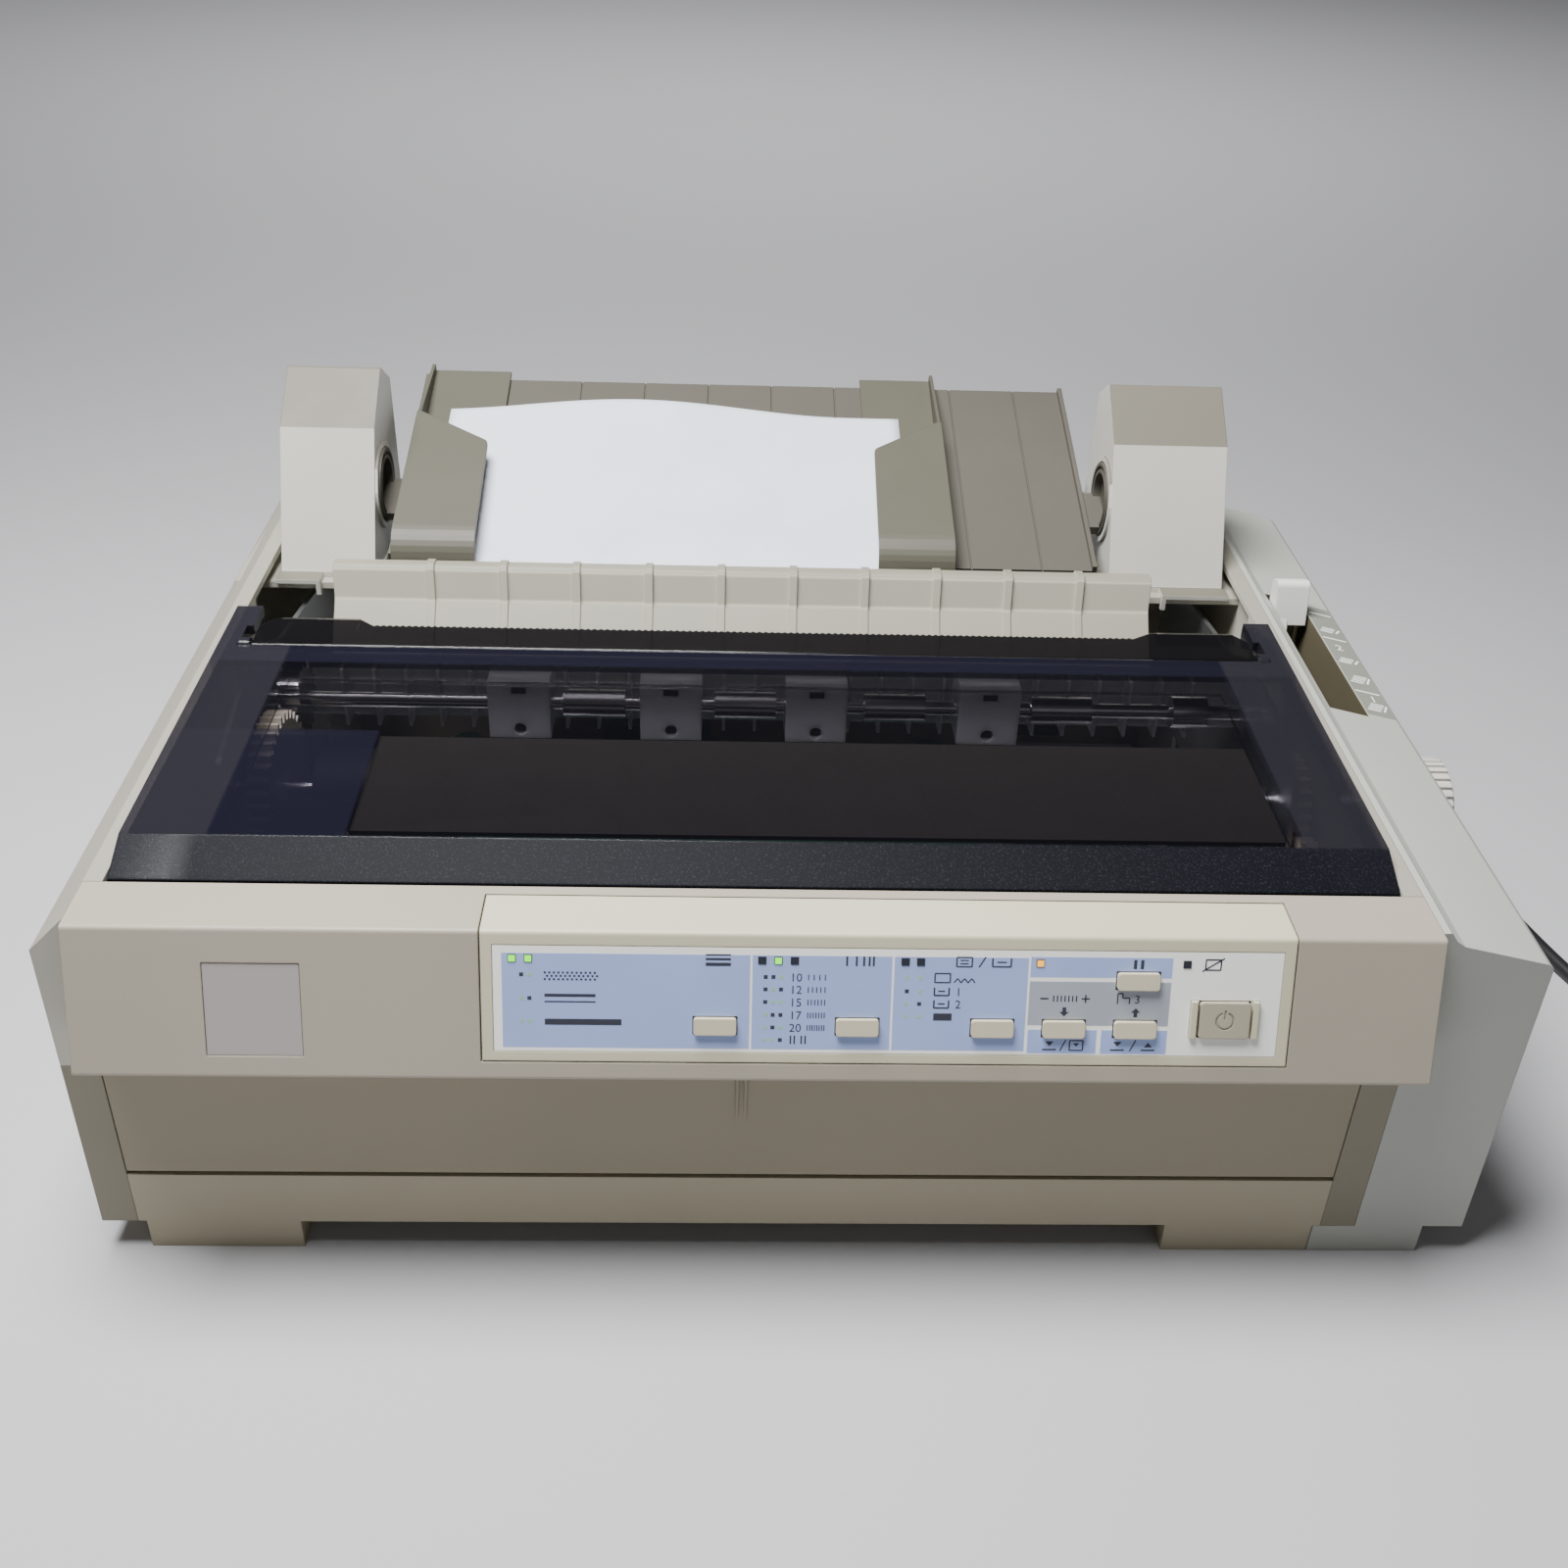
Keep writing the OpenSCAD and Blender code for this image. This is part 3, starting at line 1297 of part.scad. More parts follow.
// Lever on the pod's stud, with a grip above the slot.
module release_lever() {
    color("white") difference() {
        union() {
            bar_x(lever_x, lever_x + 8, [lever_y, lever_z], 9);
            across(lever_x + 1, lever_x + 6) polygon([[lever_y - 5, lever_z + 3], [lever_y + 6, lever_z],
                [lever_y + 32, lever_z + 82], [lever_y + 24, lever_z + 84]]);
            across(lever_x, lever_x + 14) polygon(rounded([[lever_y + 23, lever_z + 80, 0], [lever_y + 32, lever_z + 80, 0],
                [lever_y + 35, lever_z + 97, 2.5], [lever_y + 27, lever_z + 99, 2.5]]));
        }
        bar_x(lever_x - 1, lever_x + 15, [lever_y, lever_z], lever_pin_r + fit);
    }
}

// ---- electrics ------------------------------------------------------------------

// Board on four spacers, with its parts and the interface socket at the rear.
module main_board() {
    board_z = base_z + 8;
    color("darkgreen") {
        block([-150, 160, board_z], [110, 290, board_z + 1.6]);
        for (x = [-143, 103])
            for (y = [167, 283])
                translate([x, y, base_z + 2]) cylinder(r = 3.5, h = 6.1);
        for (at = [[-120, 190, 24, 14], [-80, 190, 40, 15], [-20, 200, 40, 15], [40, 190, 32, 15],
                [-110, 230, 18, 12], [-60, 232, 18, 12], [0, 240, 28, 10], [50, 232, 30, 12]])
            block([at[0], at[1], board_z + 1.5], [at[0] + at[2], at[1] + at[3], board_z + 5]);
        for (x = [-130, -112, 92])
            translate([x, 268, board_z + 1.5]) cylinder(r = 7, h = 22);
        block([-66, 284, board_z + 1.5], [-14, case_d - wall - 0.2, 49]);
        block([-62, case_d - wall - 0.3, 37], [-18, case_d, 47]);
    }
}

module transformer() {
    color("dimgray") {
        block([125, 198, base_z + 2], [185, 252, base_z + 44]);
        block([133, 190, base_z + 6], [177, 260, base_z + 38]);
        block([130, 186, base_z + 2], [180, 264, base_z + 6.1]);
    }
}

inlet_x = 150;
inlet_z = 44;
pin_w = 2;

// Mains inlet: cup with three pins and a flange on the rear wall.
module mains_inlet() {
    color("#1f1f21") translate([inlet_x, 0, inlet_z]) {
        difference() {
            union() {
                along(case_d - 24, case_d + 1) polygon(rounded_box(27, 19.4, 2));
                along(case_d, case_d + 2) polygon(rounded_box(36, 23, 2.5));
            }
            along(case_d - 18, case_d + 3) polygon(rounded_box(23.8, 15.8, 1));
        }
        inlet_pins(0, case_d - 18.1, case_d - 3);
    }
}

module inlet_pins(gap, y0, y1) {
    for (at = [[-7, -2], [7, -2], [0, 2]])
        translate([at[0], 0, at[1]])
            block([-pin_w / 2 - gap, y0, -2 - gap], [pin_w / 2 + gap, y1, 2 + gap]);
}

connector_end = case_d + 22;

// Cord connector pushed into the inlet, with its tapered strain relief.
module mains_connector() {
    color("#1f1f21") translate([inlet_x, 0, inlet_z]) {
        difference() {
            along(case_d - 17.5, case_d + 3) polygon(rounded_box(23.2, 15.2, 1));
            inlet_pins(0.1, case_d - 18, case_d - 2);
        }
        along(case_d + 2.4, connector_end) polygon(rounded_box(26, 19, 3));
        for (i = [0:5])
            translate([0, connector_end - 0.1 + 5 * i, 0]) rotate([-90, 0, 0]) {
                cylinder(r = 8.5 - 0.8 * i, h = 3.6);
                cylinder(r = 7 - 0.7 * i, h = 5.1);
            }
    }
}

// ---- cord -----------------------------------------------------------------------

cord_r = cord_d / 2;
cord_end = [390, 90, cord_r];
coil_r = 36;
coil_turns = 6;
cord_points = [
    [150, 382.2, 44], [150, 400, 42], [155, 425, 34], [172, 448, 22], [200, 460, 10],
    [235, 455, 3.4], [270, 435, cord_r], [300, 400, cord_r], [325, 350, cord_r], [342, 300, cord_r],
    [352, 250, cord_r], [360, 205, cord_r], [368.5, 163, cord_r], [380, 125, cord_r], cord_end
];

// Point of the smooth curve through the cord's points, at place t counted in points.
function on_cord(t) =
    let (
        n = len(cord_points) - 1,
        i = min(n - 1, floor(t)),
        u = t - i,
        a = cord_points[max(0, i - 1)],
        b = cord_points[i],
        c = cord_points[i + 1],
        d = cord_points[min(n, i + 2)]
    )
    0.5 * (2 * b + (c - a) * u + (2 * a - 5 * b + 4 * c - d) * u * u + (3 * b - 3 * c + d - a) * u * u * u);

// Ring of n points round the cord at place t.
function cord_ring(t, n) =
    let (
        last = len(cord_points) - 1,
        ahead = unit(on_cord(min(last, t + 0.01)) - on_cord(max(0, t - 0.01))),
        aside = unit(cross(ahead, [0, 0, 1])),
        up = cross(aside, ahead),
        at = on_cord(t)
    )
    [for (k = [0:n - 1]) at + cord_r * (cos(360 * k / n) * aside + sin(360 * k / n) * up)];

module mains_cord() {
    sides = 10;
    per = 3;
    rings = (len(cord_points) - 1) * per;
    points = [for (j = [0:rings]) each cord_ring(j / per, sides)];
    skin = [for (j = [0:rings - 1]) for (k = [0:sides - 1]) let (k1 = (k + 1) % sides)
        [j * sides + k, j * sides + k1, (j + 1) * sides + k1, (j + 1) * sides + k]];
    first = [for (k = [sides - 1:-1:0]) k];
    final = [for (k = [0:sides - 1]) rings * sides + k];
    color("#1a1a1c") polyhedron(points, concat(skin, [first, final]));
}

coil_at = [cord_end[0] + coil_r, cord_end[1]];

// Stand-in for the coiled length: a ring three cords wide and two high.
module cord_coil() {
    color("#1a1a1c") translate([coil_at[0], coil_at[1], 0]) rotate_extrude()
        translate([coil_r - 1.5 * cord_d, 0]) polygon(rounded([[0, 0, 2], [3 * cord_d, 0, 2],
            [3 * cord_d, 2 * cord_d, 2], [0, 2 * cord_d, 2]]));
}

plug_at = [coil_at[0], coil_at[1] - coil_r - 24];

// Flat two-blade plug beside the coil, with its short strain relief.
module mains_plug() {
    color("#1f1f21") translate([plug_at[0], plug_at[1], 0]) {
        along(-14, 10) translate([0, 9]) polygon(rounded_box(26, 18, 4));
        translate([0, 9.9, 9]) rotate([-90, 0, 0]) cylinder(r1 = 7.5, r2 = 4.6, h = 8);
        for (x = [-6.35, 6.35])
            block([x - 0.8, -31, 6], [x + 0.8, -13.9, 12]);
    }
}

// ---- placing --------------------------------------------------------------------

tray_rear = hub_y + (tray_back + 4) * cos(tray_slope) - (tray_w_at + 0.3) * sin(tray_slope);
centre_x = (x_left + knob_x + knob_t) / 2;
centre_y = (face_y + tray_rear) / 2;

// Moves the whole machine so that the middle of its footprint is the origin.
module placed() {
    translate([-centre_x, -centre_y, 0]) children();
}

placed() lower_case();
placed() upper_case();
placed() right_pod();
placed() front_panel();
placed() control_unit();
placed() panel_label();
placed() indicator_leds();
placed() badge_plate();
placed() mode_key();
placed() pitch_key();
placed() tear_key();
placed() feed_key();
placed() load_key();
placed() pause_key();
placed() power_key();
placed() front_door();
placed() printer_cover();
placed() cover_pad();
placed() tear_off_flap();
placed() guide_bar();
placed() left_box();
placed() right_box();
placed() sheet_tray();
placed() left_guide();
placed() right_guide();
placed() paper_sheet();
placed() chassis_base();
placed() left_frame();
placed() right_frame();
placed() platen();
placed() platen_shaft();
placed() feed_knob();
placed() platen_gears();
placed() motors();
placed() motor_pinion();
placed() tension_frame();
placed() tension_shaft();
placed() front_idler();
placed() rear_idler();
placed() tractor_shaft();
placed() guide_rods();
placed() left_tractor();
placed() right_tractor();
placed() left_sprocket();
placed() right_sprocket();
placed() carriage();
placed() print_head();
placed() carriage_belt();
placed() drive_pulley();
placed() idler_pulley();
placed() ribbon_cartridge();
placed() ribbon_knob();
placed() release_lever();
placed() main_board();
placed() transformer();
placed() mains_inlet();
placed() mains_connector();
placed() mains_cord();
placed() cord_coil();
placed() mains_plug();
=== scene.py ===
"""Looks of the dot matrix printer: materials, printed marks, sheet, cord, light and camera."""
import math

import bpy
from mathutils import Matrix, Vector


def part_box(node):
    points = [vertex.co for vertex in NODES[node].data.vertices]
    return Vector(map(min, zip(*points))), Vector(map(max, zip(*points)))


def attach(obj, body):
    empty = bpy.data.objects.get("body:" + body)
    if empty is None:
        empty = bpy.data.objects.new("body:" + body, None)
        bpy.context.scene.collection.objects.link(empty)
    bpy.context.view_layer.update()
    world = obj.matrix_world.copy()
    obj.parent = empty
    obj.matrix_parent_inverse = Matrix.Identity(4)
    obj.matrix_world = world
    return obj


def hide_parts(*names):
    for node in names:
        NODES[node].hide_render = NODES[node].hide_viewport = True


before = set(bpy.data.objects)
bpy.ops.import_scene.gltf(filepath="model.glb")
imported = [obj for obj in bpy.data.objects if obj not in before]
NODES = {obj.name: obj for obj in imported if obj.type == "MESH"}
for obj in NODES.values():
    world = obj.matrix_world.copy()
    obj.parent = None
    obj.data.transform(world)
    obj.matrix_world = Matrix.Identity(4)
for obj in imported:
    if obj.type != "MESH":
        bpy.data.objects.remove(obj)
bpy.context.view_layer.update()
MM = 0.001

# The middle of the footprint, in the part's own drawing frame (mm).
CENTRE_X = 23.75
CENTRE_Y = 174.2262


def at(x, y, z):
    """A point of the drawing frame (mm) as a point of the row frame (m)."""
    return Vector(((x - CENTRE_X) * MM, (y - CENTRE_Y) * MM, z * MM))


# ---- camera ---------------------------------------------------------------------

# The square picture (pixels), and the camera's place (mm) and turns (degrees) in the drawing frame.
IMAGE_PX = 1600
FOCAL_PX = 1650.0
PRINCIPAL = (799.4, 791.9)
CAMERA_AT = (-6.344, -400.355, 447.828)
PITCH, YAW, ROLL = 31.900, -2.422, -2.093
SENSOR_MM = 36.0
NEAREST, FARTHEST = 0.01, 20


def make_camera():
    """The camera stands where the photograph was taken from."""
    p, w, r = (math.radians(a) for a in (PITCH, YAW, ROLL))
    yaw = Matrix(((math.cos(w), math.sin(w), 0), (-math.sin(w), math.cos(w), 0), (0, 0, 1)))
    tilt = Matrix(((1, 0, 0), (0, -math.sin(p), -math.cos(p)), (0, math.cos(p), -math.sin(p))))
    roll = Matrix(((math.cos(r), math.sin(r), 0), (-math.sin(r), math.cos(r), 0), (0, 0, 1)))
    rows = roll @ tilt @ yaw
    axes = Matrix((rows[0], -rows[1], -rows[2])).transposed()
    data = bpy.data.cameras.new("camera")
    data.sensor_width = SENSOR_MM
    data.sensor_fit = "HORIZONTAL"
    data.lens = FOCAL_PX / IMAGE_PX * SENSOR_MM
    data.shift_x = (IMAGE_PX / 2 - PRINCIPAL[0]) / IMAGE_PX
    data.shift_y = (PRINCIPAL[1] - IMAGE_PX / 2) / IMAGE_PX
    data.clip_start = NEAREST
    data.clip_end = FARTHEST
    camera = bpy.data.objects.new("camera", data)
    camera.matrix_world = Matrix.Translation(at(*CAMERA_AT)) @ axes.to_4x4()
    bpy.context.scene.collection.objects.link(camera)
    bpy.context.scene.camera = camera


make_camera()


# ---- helpers --------------------------------------------------------------------

# A Mix node in colour mode has its two colours and its result at these socket numbers.
MIX_A, MIX_B, MIX_OUT = 6, 7, 2
# Nearly all of a noise lies between these values.
NOISE_LOW, NOISE_HIGH = 0.3, 0.7
# Half the width of the change from one region of a surface to the next (m).
BLUR = 0.0006
# How far up a face has to look, as the Z of its normal, for its painted shade to begin and to be full.
UPWARD_SHADE_FROM, UPWARD_SHADE_FULLY = 0.4, 0.7
# Plastic: the noise scales of its faint clouding and of the smudges in its gloss, how far its roughness
# strays either way, its specular level and how strongly its grain shows.
CLOUD_SCALE, SMUDGE_SCALE = 9, 60
ROUGH_STRAY = 0.06
PLASTIC_SPECULAR = 0.42
GRAIN_STRENGTH = 0.6


def mesh_piece(name, verts, faces, body, material, smooth=False):
    """A mesh object made from points in metres, which rides on a body."""
    mesh = bpy.data.meshes.new(name)
    mesh.from_pydata([tuple(v) for v in verts], [], faces)
    mesh.validate()
    mesh.materials.append(material)
    for face in mesh.polygons:
        face.use_smooth = smooth
    obj = bpy.data.objects.new(name, mesh)
    bpy.context.scene.collection.objects.link(obj)
    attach(obj, body)
    return obj


class Shader:
    """Short names for the nodes of one material."""

    def __init__(self, name):
        self.material = bpy.data.materials.new(name)
        self.material.use_nodes = True
        self.tree = self.material.node_tree
        self.bsdf = self.tree.nodes["Principled BSDF"]
        self.bump_link = None

    def node(self, kind, **values):
        """A new node; each value goes to its socket of that name, or else to the node itself."""
        made = self.tree.nodes.new(kind)
        for key, value in values.items():
            if key in made.inputs:
                made.inputs[key].default_value = value
            else:
                setattr(made, key, value)
        return made

    def link(self, source, target):
        self.tree.links.new(source, target)

    def feed(self, source, target):
        """Give a socket a number, or the output of another node."""
        if isinstance(source, (int, float)):
            target.default_value = source
        else:
            self.link(source, target)

    def surface(self, values):
        """Plain values for sockets of the surface."""
        for key, value in values.items():
            self.bsdf.inputs[key].default_value = value

    def place(self):
        return self.node("ShaderNodeTexCoord").outputs["Object"]

    def part(self, vector, axis):
        """The X, Y or Z of a vector."""
        made = self.node("ShaderNodeSeparateXYZ")
        self.link(vector, made.inputs[0])
        return made.outputs[axis]

    def noise(self, scale, detail=3.0, vector=None):
        made = self.node("ShaderNodeTexNoise", Scale=scale, Detail=detail, Roughness=0.55)
        self.link(vector or self.place(), made.inputs["Vector"])
        return made.outputs["Fac"]

    def ramp(self, source, stops):
        """A colour for each value of the source, from (value, colour) pairs."""
        made = self.node("ShaderNodeValToRGB")
        ends = made.color_ramp.elements
        while len(ends) < len(stops):
            ends.new(0.5)
        for end, (value, colour) in zip(ends, stops):
            end.position = value
            end.color = (*colour, 1)
        self.link(source, made.inputs["Fac"])
        return made.outputs["Color"]

    def clouded(self, source, low, high):
        """A colour that follows a noise from low to high."""
        return self.ramp(source, [(NOISE_LOW, low), (NOISE_HIGH, high)])

    def range(self, source, low, high, start=0, end=1):
        """low to high as the source goes from start to end, and no further."""
        made = self.node("ShaderNodeMapRange")
        for key, value in (("From Min", start), ("From Max", end), ("To Min", low), ("To Max", high)):
            made.inputs[key].default_value = value
        self.link(source, made.inputs["Value"])
        return made.outputs["Result"]

    def compute(self, operation, first, second=None):
        """One Math node; second is a number or a node's output."""
        made = self.node("ShaderNodeMath", operation=operation)
        self.link(first, made.inputs[0])
        if second is not None:
            self.feed(second, made.inputs[1])
        return made.outputs[0]

    def mix_shaders(self, share, first, second):
        """The second shader over the first; its share is a number or a node's output."""
        made = self.node("ShaderNodeMixShader")
        self.feed(share, made.inputs["Fac"])
        self.link(first, made.inputs[1])
        self.link(second, made.inputs[2])
        return made.outputs[0]

    def bump(self, source, depth, strength):
        made = self.node("ShaderNodeBump", Strength=strength, Distance=depth)
        self.link(source, made.inputs["Height"])
        if self.bump_link:
            self.link(self.bump_link, made.inputs["Normal"])
        self.bump_link = made.outputs["Normal"]
        self.link(self.bump_link, self.bsdf.inputs["Normal"])

    def round_edges(self, radius):
        made = self.node("ShaderNodeBevel", samples=4, Radius=radius)
        self.bump_link = made.outputs["Normal"]
        self.link(self.bump_link, self.bsdf.inputs["Normal"])


def srgb(r, g, b):
    """A colour written as 0..255 screen values, as linear light."""
    out = []
    for c in (r, g, b):
        c /= 255
        out.append(c / 12.92 if c <= 0.04045 else ((c + 0.055) / 1.055) ** 2.4)
    return tuple(out)


def shade(colour, factor):
    """The colour, factor times as bright."""
    return tuple(min(1.0, c * factor) for c in colour)


def past(s, edge, over=BLUR, axis="Y", mirror_at=None):
    """0 before the edge along the row's axis and 1 past it, or past it on both sides of mirror_at."""
    along = s.part(s.place(), axis)
    if mirror_at is not None:
        along = s.compute("ABSOLUTE", s.compute("SUBTRACT", along, mirror_at))
    return s.range(along, 0, 1, edge - over, edge + over)


def combine(s, operation, *sources):
    """The sources joined pair by pair by one Math operation."""
    total = sources[0]
    for source in sources[1:]:
        total = s.compute(operation, total, source)
    return total


def inside(s, low, high, over=BLUR):
    """1 inside the box from low to high (m, None for an open side) and 0 outside it."""
    masks = []
    for axis, a, b in zip("XYZ", low, high):
        if a is not None:
            masks.append(past(s, a, over, axis))
        if b is not None:
            masks.append(s.range(past(s, b, over, axis), 1, 0))
    return combine(s, "MULTIPLY", *masks)


def plastic(name, colour, rough=0.5, grain=0.00006, grain_scale=1400, edge=0.0006, shaded_region=None, upward_shade=None):
    """Moulded plastic: fine spark-eroded grain, faint clouding, softly rounded edges.

    The second last argument gives the low corner, the high corner and the colour of a region of painted
    shade; the last gives the colour of painted shade on the faces that look up."""
    s = Shader(name)
    if edge:
        s.round_edges(edge)
    clouds = s.noise(CLOUD_SCALE, 3)
    tone = s.clouded(clouds, shade(colour, 0.95), shade(colour, 1.025))
    regions = []
    # Painted shade: faces that look up take a darker colour as their normal turns up.
    if upward_shade:
        upward = s.part(s.node("ShaderNodeNewGeometry").outputs["Normal"], "Z")
        regions.append((s.range(upward, 0, 1, UPWARD_SHADE_FROM, UPWARD_SHADE_FULLY), upward_shade))
    # Painted shade: a darker colour inside a box-shaped region.
    if shaded_region:
        low, high, shade_tone = shaded_region
        regions.append((inside(s, low, high, BLUR / 6), shade_tone))
    for mask, other in regions:
        mixed = s.node("ShaderNodeMix", data_type="RGBA")
        s.link(mask, mixed.inputs["Factor"])
        s.link(tone, mixed.inputs[MIX_A])
        s.link(s.clouded(clouds, shade(other, 0.95), shade(other, 1.05)), mixed.inputs[MIX_B])
        tone = mixed.outputs[MIX_OUT]
    s.link(tone, s.bsdf.inputs["Base Color"])
    smudges = s.range(s.noise(SMUDGE_SCALE, 4), rough - ROUGH_STRAY, rough + ROUGH_STRAY)
    s.link(smudges, s.bsdf.inputs["Roughness"])
    s.surface({"Specular IOR Level": PLASTIC_SPECULAR})
    if grain:
        s.bump(s.noise(grain_scale, 2), grain, GRAIN_STRENGTH)
    return s.material


def metal(name, colour, rough, streak=(2, 600, 600)):
    """Plated or ground steel with fine streaks."""
    s = Shader(name)
    s.surface({"Metallic": 1.0})
    stretch = s.node("ShaderNodeMapping", Scale=streak)
    s.link(s.place(), stretch.inputs["Vector"])
    lines = s.noise(1.0, 4, vector=stretch.outputs["Vector"])
    s.link(s.clouded(lines, shade(colour, 0.85), shade(colour, 1.1)), s.bsdf.inputs["Base Color"])
    s.link(s.range(lines, rough - 0.08, rough + 0.1), s.bsdf.inputs["Roughness"])
    return s.material


# ---- cord -----------------------------------------------------------------------

# The cord's points, diameter and coil in the drawing frame (mm), as part.scad has them.
CORD_D = 6.5
CORD_POINTS = [
    (150, 382, 44), (150, 400, 42), (155, 425, 34), (172, 448, 22), (200, 460, 10),
    (235, 455, 3.4), (270, 435, 3.25), (300, 400, 3.25), (325, 350, 3.25), (342, 300, 3.25),
    (352, 250, 3.25), (360, 205, 3.25), (368.5, 163, 3.25), (380, 125, 3.25), (390, 90, 3.25),
]
COIL_R = 36
COIL_TURNS = 5.5
# Each turn's radius and layer; the turn moves on to the next over its last part.
TURN_RADII = [COIL_R, COIL_R - CORD_D, COIL_R - CORD_D, COIL_R, COIL_R + CORD_D, COIL_R + CORD_D]
TURN_LAYERS = [0, 0, 1, 1, 1, 0]
LAST_PART = 0.3
LAYER_RISE = CORD_D * 0.98
STEPS_A_TURN = 24
STEPS_A_SPAN = 6
LEAST_LENGTH = 1e-6


def on_cord(points, t):
    """The smooth curve through the points."""
    n = len(points) - 1
    i = min(n - 1, int(t))
    u = t - i
    a, b = Vector(points[max(0, i - 1)]), Vector(points[i])
    c, d = Vector(points[i + 1]), Vector(points[min(n, i + 2)])
    return 0.5 * (2 * b + (c - a) * u + (2 * a - 5 * b + 4 * c - d) * u * u
                  + (3 * b - 3 * c + d - a) * u ** 3)


def cord_route():
    """The open stretch, then the coil's turns: three side by side on the floor, the rest on top."""
    spans = len(CORD_POINTS) - 1
    line = [on_cord(CORD_POINTS, k / STEPS_A_SPAN) for k in range(spans * STEPS_A_SPAN + 1)]
    end = line[-1]
    centre = Vector((end.x + COIL_R, end.y, 0))
    last = len(TURN_RADII) - 1
    for k in range(1, int(COIL_TURNS * STEPS_A_TURN) + 1):
        turn = k / STEPS_A_TURN
        i = min(int(turn), last)
        j = min(i + 1, last)
        blend = min(1.0, max(0.0, (turn - i - (1 - LAST_PART)) / LAST_PART))
        blend = blend * blend * (3 - 2 * blend)
        r = TURN_RADII[i] + (TURN_RADII[j] - TURN_RADII[i]) * blend
        z = CORD_D / 2 + LAYER_RISE * (TURN_LAYERS[i] + (TURN_LAYERS[j] - TURN_LAYERS[i]) * blend)
        angle = math.pi + 2 * math.pi * turn
        line.append(centre + Vector((r * math.cos(angle), r * math.sin(angle), z)))
    return line


def tube(name, line, radius, body, material, sides=16):
    """A round tube along points in metres, closed at both ends."""
    verts, faces = [], []
    up = Vector((0, 0, 1))
    for k, p in enumerate(line):
        ahead = (line[min(k + 1, len(line) - 1)] - line[max(k - 1, 0)]).normalized()
        aside = ahead.cross(up)
        aside = aside.normalized() if aside.length > LEAST_LENGTH else Vector((1, 0, 0))
        above = aside.cross(ahead).normalized()
        for i in range(sides):
            a = 2 * math.pi * i / sides
            verts.append(p + radius * (math.cos(a) * aside + math.sin(a) * above))
    for k in range(len(line) - 1):
        for i in range(sides):
            j = (i + 1) % sides
            faces.append((k * sides + i, k * sides + j, (k + 1) * sides + j, (k + 1) * sides + i))
    faces.append(tuple(range(sides - 1, -1, -1)))
    faces.append(tuple((len(line) - 1) * sides + i for i in range(sides)))
    return mesh_piece(name, verts, faces, body, material, smooth=True)


cord_black = plastic("cord_sheath", srgb(30, 30, 32), rough=0.42, grain=0.00003, edge=0)
cord_line = [at(*p) for p in cord_route()]
cord = tube("mains_cord_lead", cord_line, CORD_D / 2 * MM, "case", cord_black)
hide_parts("mains_cord", "cord_coil")


# ---- materials of the CAD nodes -------------------------------------------------

# Regions of painted shade (m): the jambs beside the front door under the panel, before a plane and below
# another, and the inside of the lever's slot.
OPEN = (None, None, None)
JAMB_HIGH = (None, at(0, 0.8, 0)[1], at(0, 0, 84)[2])
SLOT_LOW = (*at(228.8, 143.8, 0)[:2], None)
SLOT_HIGH = (*at(245.2, 238.2, 0)[:2], None)

# The housing: painted shade on its faces that look up, and on the jambs under the panel.
housing = plastic("housing_light", srgb(190, 187, 174), rough=0.55, upward_shade=srgb(150, 146, 135),
                  shaded_region=(OPEN, JAMB_HIGH, srgb(130, 124, 106)))
# The pod: painted shade inside the lever's slot.
pod_plastic = plastic("housing_pod", srgb(170, 171, 164), rough=0.55,
                      shaded_region=(SLOT_LOW, SLOT_HIGH, srgb(88, 82, 64)))
housing_low = plastic("housing_lower", srgb(166, 158, 136), rough=0.58)
# The door: the lower housing's beige made darker, a painted shade under the panel.
door_shaded_plastic = plastic("housing_door_shaded", srgb(144, 136, 115), rough=0.58)
panel_plastic = plastic("panel_face", srgb(162, 154, 139), rough=0.45)
cream = plastic("control_cream", srgb(198, 192, 166), rough=0.45, grain=0.00003)
key_cream = plastic("key_cream", srgb(206, 198, 172), rough=0.42, grain=0.00002, edge=0.0005)
power_cream = plastic("power_cream", srgb(168, 162, 142), rough=0.45)
label_base = plastic("label_base", srgb(246, 246, 243), rough=0.4, grain=0, edge=0)
tray_plastic = plastic("tray_beige", srgb(84, 81, 73), rough=0.5)
guide_plastic = plastic("guide_beige", srgb(84, 82, 71), rough=0.5)
# The guide bar and the boxes: painted shade on their faces that look up.
bar_plastic = plastic("bar_beige", srgb(206, 202, 184), rough=0.5, upward_shade=srgb(140, 137, 122))
box_plastic = plastic("box_grey", srgb(198, 197, 188), rough=0.55, upward_shade=srgb(108, 104, 92))
black_plastic = plastic("black_plastic", srgb(38, 38, 40), rough=0.5, edge=0.0004)
dark_grey = plastic("dark_grey", srgb(58, 58, 62), rough=0.5, edge=0.0004)
ivory = plastic("gear_ivory", srgb(226, 220, 200), rough=0.4, grain=0, edge=0.0002)
knob_grey = plastic("knob_grey", srgb(200, 198, 190), rough=0.5)
lever_white = plastic("lever_white", srgb(228, 228, 222), rough=0.35, grain=0)
board = plastic("board_green", srgb(20, 58, 38), rough=0.4, grain=0.00002, edge=0)
plug_black = plastic("plug_black", srgb(28, 28, 30), rough=0.45)
motor_black = plastic("motor_enamel", srgb(44, 44, 46), rough=0.35, grain=0)
steel = metal("zinc_plate", (0.56, 0.57, 0.58), 0.38, (30, 30, 30))
shaft = metal("ground_shaft", (0.62, 0.62, 0.63), 0.22)
brass = metal("brass", (0.72, 0.52, 0.22), 0.3, (200, 40, 40))
head_metal = metal("head_alloy", (0.16, 0.16, 0.17), 0.45, (60, 60, 60))
badge_metal = plastic("badge_plate", srgb(160, 154, 152), rough=0.38, grain=0.00002, edge=0.0003)
